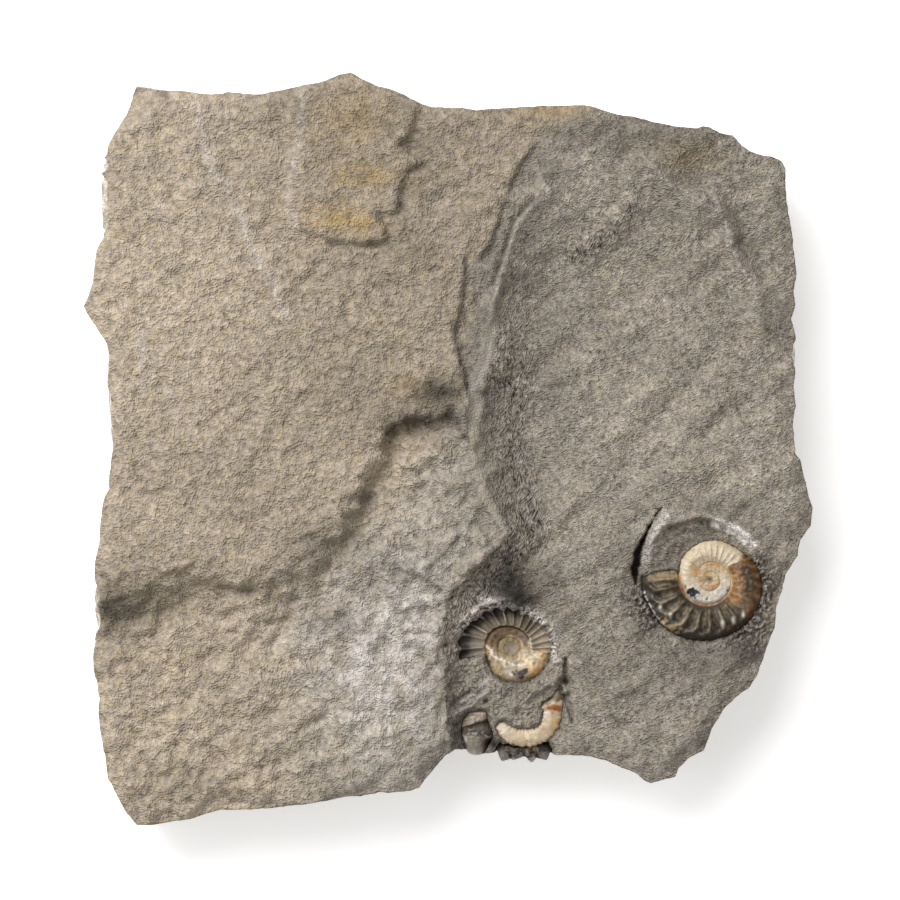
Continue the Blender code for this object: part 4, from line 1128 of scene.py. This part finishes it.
def surface(x, y):
    """The rock's top in full detail, with the share of each kind of finish at every place."""
    warp_x = 0.9 * rough(x, y, 5, 31) + 0.4 * rough(x, y, 2.2, 32)
    warp_y = 0.9 * rough(x, y, 5, 33) + 0.4 * rough(x, y, 2.2, 34)
    py = in_picture(x, y)[1]
    # Lines wander most along the scarp, and the crest above the small group is a clean one
    torn = 1.0 + 1.3 * smooth(1.6 - from_line(SCARP, x, y) / 7)
    clean = smooth(1.6 - from_line(CREST, x, y) / 5) * window(py, 395, 15, 560, 20)
    torn = torn * smooth(distance(EDGE, x, y, closed=True)[0] / 3) * (1.0 - 0.85 * clean)
    top, past, below, rugged = relief(x + warp_x * torn, y + warp_y * torn)

    tooled, weathered, steep = kinds_of_ground(x, y, past)
    # Bedding face: lumps that trend from the lower left to the upper right; the lower ground, broken
    # deeper, is lumpier; the cut face has long low waves and, on the slope, furrows that run down it
    along, across = turned(x, y, 38)
    broad = rough(along * 0.75, across, 8, 51)
    lumps_4 = rough(x, y, 4, 52)
    lumps_2 = rough(x, y, 2.1, 53)
    small = rough(x, y, 1.3, 54)
    billow = np.abs(rough(along * 0.9, across, 5, 55)) - 0.25
    uneven = 0.35 + 0.9 * smooth(0.5 + 1.2 * rough(x, y, 22, 56))
    bedding = uneven * (1.2 * broad + 0.9 * lumps_4) + 0.42 * lumps_2 + 0.14 * small
    lower = smooth(0.5 + below / 6) * (1.0 - tooled)
    bedding += lower * (0.7 * broad + 0.4 * lumps_4 + 1.5 * billow + 0.2 * lumps_2)
    waves = 2.1 * rough(along * 0.3, across, 9, 61) + rough(along * 0.5, across, 4.2, 62)
    waves += 0.34 * lumps_2 + 0.12 * small
    down, over = turned(x, y, 60)
    furrows = 0.8 * rough(down * 0.3, over, 2.6, 63) + 0.7 * lumps_4 + 0.22 * small
    cut_face = waves + steep * (furrows - waves)
    reach = np.minimum(shoulder(py), 2.6) + 0.6
    band = window(past, -0.9, 0.6, reach, 0.7) * window(py, 280, 30, 545, 12)
    top += (bedding * (1.0 - tooled) + cut_face * tooled) * (1.0 - 0.9 * band)
    crease = hump(past + 1.4, 0.6) * clean
    top -= 0.6 * crease * (0.6 + 0.6 * lumps_2)
    height, pale, dark = fine_marks(x, y, warp_x, warp_y, broad)
    top += height

    # Bruised ground at the lower left, whitest towards the group
    bruise = bump_at(x, y, (385, 650), 85, 90) * smooth(0.6 + 0.8 * rough(x, y, 6, 71))
    bruised = smooth(2.1 - from_line(BRUISED_LEDGE, x, y)) * smooth(1.1 + small)
    pale += [0.75 * bruise * (1.0 - tooled), bruised]
    pale += [much * bump_at(x, y, *spot) for *spot, much in BRUISES]
    rusty = np.minimum(bumps(x, y, *RUST), 1.0) * smooth(0.9 + 1.1 * rough(x, y, 4, 72))
    rusty = np.maximum.reduce([rusty, *(much * bump_at(x, y, *spot) for *spot, much in FAINT_RUST)])
    top, closest, within, shaded_gaps, crust, chunky = near_pieces(x, y, top)
    speckle = rough(x, y, 1.1, 75) + 0.8 * rough(x, y, 0.6, 76)
    pale.append(crust * smooth(0.95 + 1.8 * speckle))
    pale += [0.5 * hump(from_line(ledge, x, y), 0.9) for ledge in GROUP_LEDGES]
    # Painted contact shade round the pieces, fainter up and right of the large one, and pitted ground beside
    # it
    jx, jy = place((700, 560))
    contact_shade = smooth((jx - x + 0.6 * (jy - y)) / 6 + 0.5)
    dark += [0.8 * crust * smooth(0.2 - 2.0 * speckle), (0.10 + 0.30 * contact_shade) * hump(closest, 0.8)]
    turn = turn_about(LARGE_CENTRE, x, y)
    right_side = window(turn, -95, 40, 34, 16) * (x > place(LARGE_CENTRE)[0] - 8)
    lower_left = window(turn, -180, 14, -128, 14) * (away_from(LARGE_CENTRE, x, y) < 30)
    pitted = hump(closest, 4.8 + 3.2 * ramp(turn, -20, -30)) * (right_side + lower_left) * (1.0 - within)
    top += 0.8 * speckle * crust + 1.2 * (speckle - 0.4) * pitted
    dark.append(0.9 * pitted * smooth(0.72 - 1.6 * speckle))
    dark += [much * bump_at(x, y, *spot) * smooth(even + ragged * small)
             for *spot, much, even, ragged in PAINTED_SHADOWS]
    pale.append(0.6 * pitted * smooth(2.0 * speckle - 0.6))
    pale.append(0.7 * hump(from_line(LARGE_LIP, x, y), 1.7) * smooth(0.8 + 1.2 * small))
    tone = stained(x, y, tooled)
    # Painted shade: the steep slope and the crease along the crest are made darker
    tone += 0.05 * tooled - 0.25 * steep + 0.35 * crust + 0.3 * bruised
    tone += (0.03 + 0.17 * ramp(py, 465, 30)) * band - 0.14 * crease
    # Painted shade in the open joint, the groove and the hollow over the middle shell's crust
    tone *= (1.0 - 0.8 * shaded_gaps) * (1.0 - 0.45 * bump_at(x, y, (520, 599), 17, 9))
    rugged = np.clip(0.9 * rugged + pitted + 0.8 * chunky + crust, 0.0, 1.0) * (1.0 - within)
    soft_from = HIGHEST - SOFT_TOP
    top = np.minimum(top, HIGHEST - SOFT_TOP * np.exp(np.minimum(0.0, soft_from - top) / SOFT_TOP))
    return top, {
        "weathered": weathered, "tooled": tooled, "steep": steep, "rugged": rugged, "rusty": rusty,
        "pale": np.maximum.reduce(pale) * (1.0 - 0.8 * within), "dark": np.maximum.reduce(dark),
        "fresh": np.zeros(x.shape), "tone": tone, "calm": band,
    }


def side_points(points, cells):
    """The side as cells + 1 places: every given point, the longest stretches divided further."""
    pts = line(points)
    lengths = np.hypot(*(pts[1:] - pts[:-1]).T)
    weight = 1.0 + 0.5 * (pts[1:, 0] + pts[:-1, 0] > 0) + 0.5 * (pts[1:, 1] + pts[:-1, 1] < 0)
    parts = np.ones(len(lengths), dtype=int)
    while parts.sum() < cells:
        parts[np.argmax(lengths * weight / parts)] += 1
    placed = [pts[0]]
    for a, b, n in zip(pts[:-1], pts[1:], parts):
        placed += [a + (b - a) * (k + 1) / n for k in range(n)]
    return np.array(placed)


def share_along(side):
    run = np.concatenate([[0], np.cumsum(np.hypot(*(side[1:] - side[:-1]).T))])
    return run / run[-1]


def stretched(ring, cells):
    """A square lattice of places stretched inside a closed ring that starts at its top left corner."""
    top = ring[:cells + 1]
    right = ring[cells:2 * cells + 1][::-1]
    bottom = ring[2 * cells:3 * cells + 1][::-1]
    left = np.concatenate([ring[3 * cells:], ring[:1]])
    # Shares across and up, taken from the sides so that close points on them stay close inside
    run_u = 0.5 * (share_along(bottom) + share_along(top))[:, None, None]
    run_v = 0.5 * (share_along(left) + share_along(right))[None, :, None]
    across = (1 - run_v) * bottom[:, None] + run_v * top[:, None]
    up = (1 - run_u) * left[None] + run_u * right[None]
    corners = (1 - run_u) * ((1 - run_v) * bottom[0] + run_v * top[0])
    corners = corners + run_u * ((1 - run_v) * bottom[-1] + run_v * top[-1])
    return across + up - corners


def ring_index(cells):
    """Lattice columns and rows round the rim, in the order of the ring."""
    run = np.arange(cells)
    full = np.full(cells, cells)
    none = np.zeros(cells, dtype=int)
    return np.concatenate([run, full, cells - run, none]), np.concatenate([full, cells - run, none, run])


def refined(xy, quads):
    """The lattice with its cells halved twice round the small group and once round the large shell."""
    bm = bmesh.new()
    made = [bm.verts.new((*corner, 0.0)) for corner in xy]
    for quad in quads:
        bm.faces.new([made[k] for k in quad])
    for zones in FINER:
        near = []
        for (cx, cy), half_wide, half_tall in ((place(c), w * PX, h * PX) for c, w, h in zones):
            for face in bm.faces:
                middle_x, middle_y = face.calc_center_bounds().xy
                if abs(middle_x - cx) < half_wide and abs(middle_y - cy) < half_tall:
                    near.append(face)
        edges = {edge for face in near for edge in face.edges if not edge.is_boundary}
        bmesh.ops.subdivide_edges(bm, edges=list(edges), cuts=1, use_grid_fill=True)
    bm.verts.index_update()
    places = np.array([vert.co.xy for vert in bm.verts])
    faces = [[vert.index for vert in face.verts] for face in bm.faces]
    bm.free()
    return places, faces


def snapped(x, y, reach):
    """Places close to a shell's outline moved onto it, so that its pocket's edge is clean."""
    for outline, *_ in POCKETS[:4]:
        part = close_to(outline, x, y, 2)
        d, _, near = distance(outline, x[part], y[part], closed=True)
        close = part[d < reach]
        x[close], y[close] = near[0][d < reach], near[1][d < reach]
    return x, y


def build_slab():
    """The whole slab as one closed mesh: face, broken sides and underside."""
    sides = [side_points(points, CELLS) for points in (TOP_EDGE, RIGHT_EDGE, BOTTOM_EDGE, LEFT_EDGE)]
    outer = np.concatenate([side[:-1] for side in sides])
    ox, oy = outer[:, 0], outer[:, 1]
    away = outwards(outer, 9)
    patches = [smooth(2.2 * bump_at(ox, oy, centre, half, half) - 0.35) for centre, half, width in STRIPS]
    torn = smooth(0.8 + rough(ox, oy, 3, 80))
    strip = np.max(patches, axis=0) * torn
    inset = np.max([patch * width * PX for patch, (*_, width) in zip(patches, STRIPS)], axis=0) * torn
    nibble = 0.30 * np.abs(rough(ox, oy, 1.9, 81)) + 0.35 * np.abs(rough(ox, oy, 4.5, 82))
    extreme = (np.abs(ox) > EXTREME[0]) | (np.abs(oy) > EXTREME[1])
    nibble[extreme] = 0.0
    rim = outer - away * (inset + nibble)[:, None]

    lattice = stretched(rim, CELLS)
    index = np.arange((CELLS + 1) ** 2).reshape(CELLS + 1, CELLS + 1)
    loop = index[ring_index(CELLS)]
    xy, faces = refined(lattice.reshape(-1, 2), lattice_quads(index))
    x, y = snapped(xy[:, 0], xy[:, 1], SNAP)
    x[loop], y[loop] = rim[:, 0], rim[:, 1]
    top, finish = surface(x, y)
    verts = [points_of(x, y, top)]
    face_count = len(top)

    # Sides: rows of broken rock from the rim down, stepped along the bedding and drawn in at the foot
    rim_z = top[loop]
    arch = hump(in_picture(ox, oy)[0] - ARCH_PX, ARCH_HALF_PX)
    arch = arch * (oy < place((0, 700))[1])
    foot = 1.0 + 0.5 * rough(ox, oy, 7, 83) + arch * ARCH_RISE
    side_finish = {"fresh": [], "pale": []}
    upper, start, n = loop, face_count, len(loop)
    for row in range(1, WALL_ROWS + 1):
        t = row / WALL_ROWS
        z = rim_z + (foot - rim_z) * t
        ledge = rough(ox, oy, 16, 84, 2.2 * z) + 0.5 * rough(ox, oy, 5, 85, 1.6 * z)
        grain = rough(ox, oy, 2.2, 86, z)
        back = 0.5 + 2.4 * t * t + 1.7 * np.clip(ledge + 0.3, 0, 1) + 0.35 * grain + 2.0 * arch * t
        back = np.maximum(back, 0.05) * smooth(t * 5) * (1.0 - strip * smooth(1.6 - 2.0 * t))
        shift = np.where(strip > 0.02, (inset + nibble) * (1.0 - smooth(t * 4)), nibble)
        shift[extreme] *= smooth(abs(t - 0.2) * 5)
        verts.append(np.column_stack([outer - away * (shift + back)[:, None], z]))
        lower = start + np.arange(n)
        faces += wall_quads(upper, lower)
        fresh = smooth(1.5 - 4.4 * t + 1.3 * ledge + 1.3 * grain)
        side_finish["fresh"].append(np.max(patches, axis=0) * fresh)
        side_finish["pale"].append(0.35 * smooth(0.2 + 1.5 * ledge))
        upper = lower
        start += n

    # Underside: a coarser lattice, nearly flat, that lifts into the arch at the lower middle
    step = CELLS // UNDER_CELLS
    foot_ring = verts[-1][::step, :2]
    under = stretched(foot_ring - outwards(foot_ring, 2) * 3.5, UNDER_CELLS)
    ux, uy = under[..., 0].ravel(), under[..., 1].ravel()
    lift = hump(in_picture(ux, uy)[0] - ARCH_PX, ARCH_HALF_PX) * ramp(uy, place((0, 655))[1], -26)
    uneven = np.clip(rough(ux, uy, 15, 87) + 0.5 * rough(ux, uy, 5, 88), 0, 1)
    verts.append(points_of(ux, uy, 0.9 * uneven + ARCH_RISE * lift))
    under_index = start + np.arange((UNDER_CELLS + 1) ** 2).reshape(UNDER_CELLS + 1, UNDER_CELLS + 1)
    faces += lattice_quads(under_index.T).tolist()
    inner = under_index[ring_index(UNDER_CELLS)]
    for k, (here, following) in enumerate(zip(inner, np.roll(inner, -1))):
        fine = [int(upper[(k * step + j) % n]) for j in range(step + 1)]
        faces.append(fine + [int(following), int(here)])

    verts = np.concatenate(verts) * MM
    mesh = bpy.data.meshes.new("limestone_slab")
    mesh.from_pydata(verts.tolist(), [], faces)
    mesh.shade_smooth()
    for name, values in finish.items():
        full = np.full(len(verts), SIDES_AND_UNDER.get(name, 0.0))
        full[:face_count] = values
        if name in side_finish:
            full[face_count:start] = np.concatenate(side_finish[name])
        mesh.attributes.new(name, "FLOAT", "POINT").data.foreach_set("value", full.astype(np.float32))
    return shown("limestone_slab", mesh)


def limestone():
    """Fine-grained muddy limestone: matt, its grains and tool strokes seen by their own shading."""
    m, shader = new_material("limestone_weathered_and_tooled", Roughness=0.92, IOR=1.5)
    mm = in_mm(m)
    share = {name: add(m, "Attribute", "Fac", attribute_name=name)
             for name in ("weathered", "tooled", "steep", "rugged", "pale", "dark", "rusty", "fresh", "tone",
                          "calm")}

    def soft_lumps(size, detail, seed, spot=mm):
        """A pattern of lumps of a size in mm, which its seed moves elsewhere."""
        moved = add(m, "VectorMath", operation="ADD", i0=spot, i1=(seed, seed, seed))
        return add(m, "TexNoise", "Fac", Vector=moved, Scale=1.0 / size, Detail=detail)

    def layers(*pairs):
        """Heights in mm, each a pattern about its middle value of a half and its size."""
        total = 0.0
        for pattern, size in pairs:
            term = add(m, "Math", operation="MULTIPLY_ADD", i0=pattern, i1=size, i2=-0.5 * size)
            total = add(m, "Math", operation="ADD", i0=total, i1=term)
        return total

    def strokes(angles, long, wide, seed):
        """Short strokes in two directions that take turns and wander."""
        sway = add(m, "TexNoise", "Color", Vector=mm, Scale=1 / 12.0, Detail=1.0)
        shifted = add(m, "VectorMath", operation="MULTIPLY_ADD", i0=sway, i1=(8.0, 8.0, 8.0), i2=mm)
        sets = []
        for k, degrees in enumerate(angles):
            turn = add(m, "Mapping", vector_type="TEXTURE", Vector=shifted,
                       Rotation=(0.0, 0.0, math.radians(degrees)), Scale=(long / wide, 1.0, 2.0))
            sets.append(soft_lumps(wide, 0.0, seed + 7.0 * k, turn))
        turns = add(m, "MapRange", Value=soft_lumps(1.8, 0.0, 40.0), From_Min=0.35, From_Max=0.65)
        return add(m, "Mix", Factor=turns, i2=sets[0], i3=sets[1])

    def thin_ledges(pattern, count):
        """Soft lumps cut into small ledges, as thin layers break away."""
        many = add(m, "Math", operation="MULTIPLY", i0=pattern, i1=count)
        part = add(m, "Math", operation="FRACT", i0=many)
        edge = add(m, "MapRange", interpolation_type="SMOOTHSTEP", Value=part, From_Min=0.15, From_Max=0.85)
        whole = add(m, "Math", operation="SUBTRACT", i0=many, i1=part)
        total = add(m, "Math", operation="ADD", i0=whole, i1=edge)
        return add(m, "Math", operation="DIVIDE", i0=total, i1=count)

    # Grains of 0.5 to 1 mm and lumps of 2.5 mm on the weathered face
    coarse = soft_lumps(1.3, 0.0, 6.0)
    lump = soft_lumps(2.7, 1.0, 9.0)
    ledges = thin_ledges(soft_lumps(6.5, 3.0, 12.0), 9.0)
    weathered = layers((soft_lumps(0.55, 0.0, 3.0), 0.70), (coarse, 0.52), (lump, 0.6), (ledges, 2.2))
    # Air-pen strokes 1.5 to 2 mm long: nearly level on the open ground, steep and deep on the slope
    fine = soft_lumps(0.5, 0.0, 14.0)
    nearly_level = strokes((26.0, -18.0), 1.4, 0.33, 21.0)
    upright = strokes((62.0, 112.0), 2.2, 0.42, 35.0)
    level = layers((nearly_level, 0.8), (fine, 0.48), (coarse, 0.48), (lump, 0.6))
    deep = layers((upright, 1.6), (fine, 0.5), (coarse, 1.0), (lump, 0.9))
    stroked = add(m, "Mix", Factor=share["steep"], i2=level, i3=deep)
    # Broken and pitted ground on the scarp and close round the ammonites
    pits = soft_lumps(0.9, 1.0, 60.0)
    rubble = layers((pits, 0.8), (soft_lumps(2.4, 1.0, 65.0), 1.3), (fine, 0.6))
    # The strip along the crest is smooth, with only the fine grain left
    height = add(m, "Mix", Factor=share["tooled"], i2=weathered, i3=stroked)
    height = add(m, "Mix", Factor=share["rugged"], i2=height, i3=rubble)
    height = add(m, "Mix", Factor=share["calm"], i2=height, i3=layers((fine, 0.45)))
    grain = add(m, "Mix", Factor=share["tooled"], i2=layers((coarse, 0.5), (lump, 0.7)), i3=stroked)
    pitted = layers((pits, 0.7), (fine, 0.5), (coarse, 0.4))
    grain = add(m, "Mix", Factor=share["rugged"], i2=grain, i3=pitted)
    grain = add(m, "Mix", Factor=share["calm"], i2=grain, i3=layers((fine, 0.3)))

    # Colour: tan where it weathered, grey where it was cut, ochre and pale grains through both, and
    # the hollows of the grain painted darker than its heads, as shade
    ochre = add(m, "MapRange", Value=soft_lumps(3.6, 2.0, 50.0), From_Min=0.40, From_Max=0.66)
    ashen = add(m, "MapRange", Value=soft_lumps(2.4, 2.0, 55.0), From_Min=0.44, From_Max=0.66)
    kinds = []
    for plain, stained, pale in (("#9c9387", "#988e7e", "#9b9389"), ("#ab9e8b", "#a89981", "#a89b8c")):
        kind = add(m, "Mix", 2, data_type="RGBA", Factor=ochre, i6=plain, i7=stained)
        kinds.append(add(m, "Mix", 2, data_type="RGBA", Factor=ashen, i6=kind, i7=pale))
    colour = add(m, "Mix", 2, data_type="RGBA", Factor=share["weathered"], i6=kinds[0], i7=kinds[1])
    # The dark layer holds dark joints and painted shade in holes, hollows and round the pieces
    for name, code in (("rusty", "#b39a6e"), ("pale", "#d0c9c4"), ("dark", "#352f28"), ("fresh", "#e6dccf")):
        colour = add(m, "Mix", 2, data_type="RGBA", Factor=share[name], i6=colour, i7=code)
    shade = add(m, "Math", operation="MULTIPLY_ADD", i0=grain, i1=1.45, i2=1.0)
    shade = add(m, "Math", operation="MULTIPLY", i0=shade, i1=share["tone"])
    link = m.node_tree.links.new
    link(add(m, "Bump", Height=height, Strength=1.0, Distance=0.001), shader.inputs["Normal"])
    link(add(m, "VectorMath", operation="SCALE", Vector=colour, Scale=shade), shader.inputs["Base Color"])
    return m


slab = build_slab()
slab.data.materials.append(limestone())
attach(slab, "root")
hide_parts("matrix_slab")


# Plain pale floor, one large soft light from the upper left, and the camera straight above
FLOOR_HALF = 2.0
LIGHT_DISTANCE = 1.1
FRAME_PX = 900
CAMERA_HEIGHT = 1.8
FACE_HEIGHT = 0.033
# Way to each light, its width in metres and its energy: the large one above, a wide weak one at the left
LIGHTS = {"key": ((-0.46, 0.74, 1.05), 0.9, 10.5), "side": ((-0.95, 0.15, 0.85), 1.3, 4.0)}

corners = [(FLOOR_HALF * sx, FLOOR_HALF * sy, 0) for sx, sy in ((-1, -1), (1, -1), (1, 1), (-1, 1))]
floor_mesh = bpy.data.meshes.new("floor")
floor_mesh.from_pydata(corners, [], [(0, 1, 2, 3)])
floor = shown("floor", floor_mesh)
white = (1.0, 1.0, 1.0, 1.0)
floor_mesh.materials.append(new_material(
    "matt_white_paper", Roughness=0.9, IOR=1.45, Base_Color=white, Emission_Color=white,
    Emission_Strength=0.42)[0])

world = bpy.data.worlds.new("soft_sky")
world.use_nodes = True
sky = world.node_tree.nodes["Background"]
sky.inputs["Color"].default_value = (1.0, 0.985, 0.96, 1.0)
sky.inputs["Strength"].default_value = 0.36
bpy.context.scene.world = world

for name, (way, size, energy) in LIGHTS.items():
    way = Vector(way).normalized()
    data = bpy.data.lights.new(name, "AREA")
    data.shape = "DISK"
    data.size = size
    data.energy = energy
    light = shown(name, data)
    light.location = way * LIGHT_DISTANCE
    light.rotation_euler = way.to_track_quat("Z", "Y").to_euler()

camera_data = bpy.data.cameras.new("camera")
camera_data.lens = camera_data.sensor_width * (CAMERA_HEIGHT - FACE_HEIGHT) / (FRAME_PX * PX * MM)
camera = shown("camera", camera_data)
camera.location = (*(side * MM for side in place((FRAME_PX / 2, FRAME_PX / 2))), CAMERA_HEIGHT)
bpy.context.scene.camera = camera
bpy.context.scene.view_settings.view_transform = "Standard"
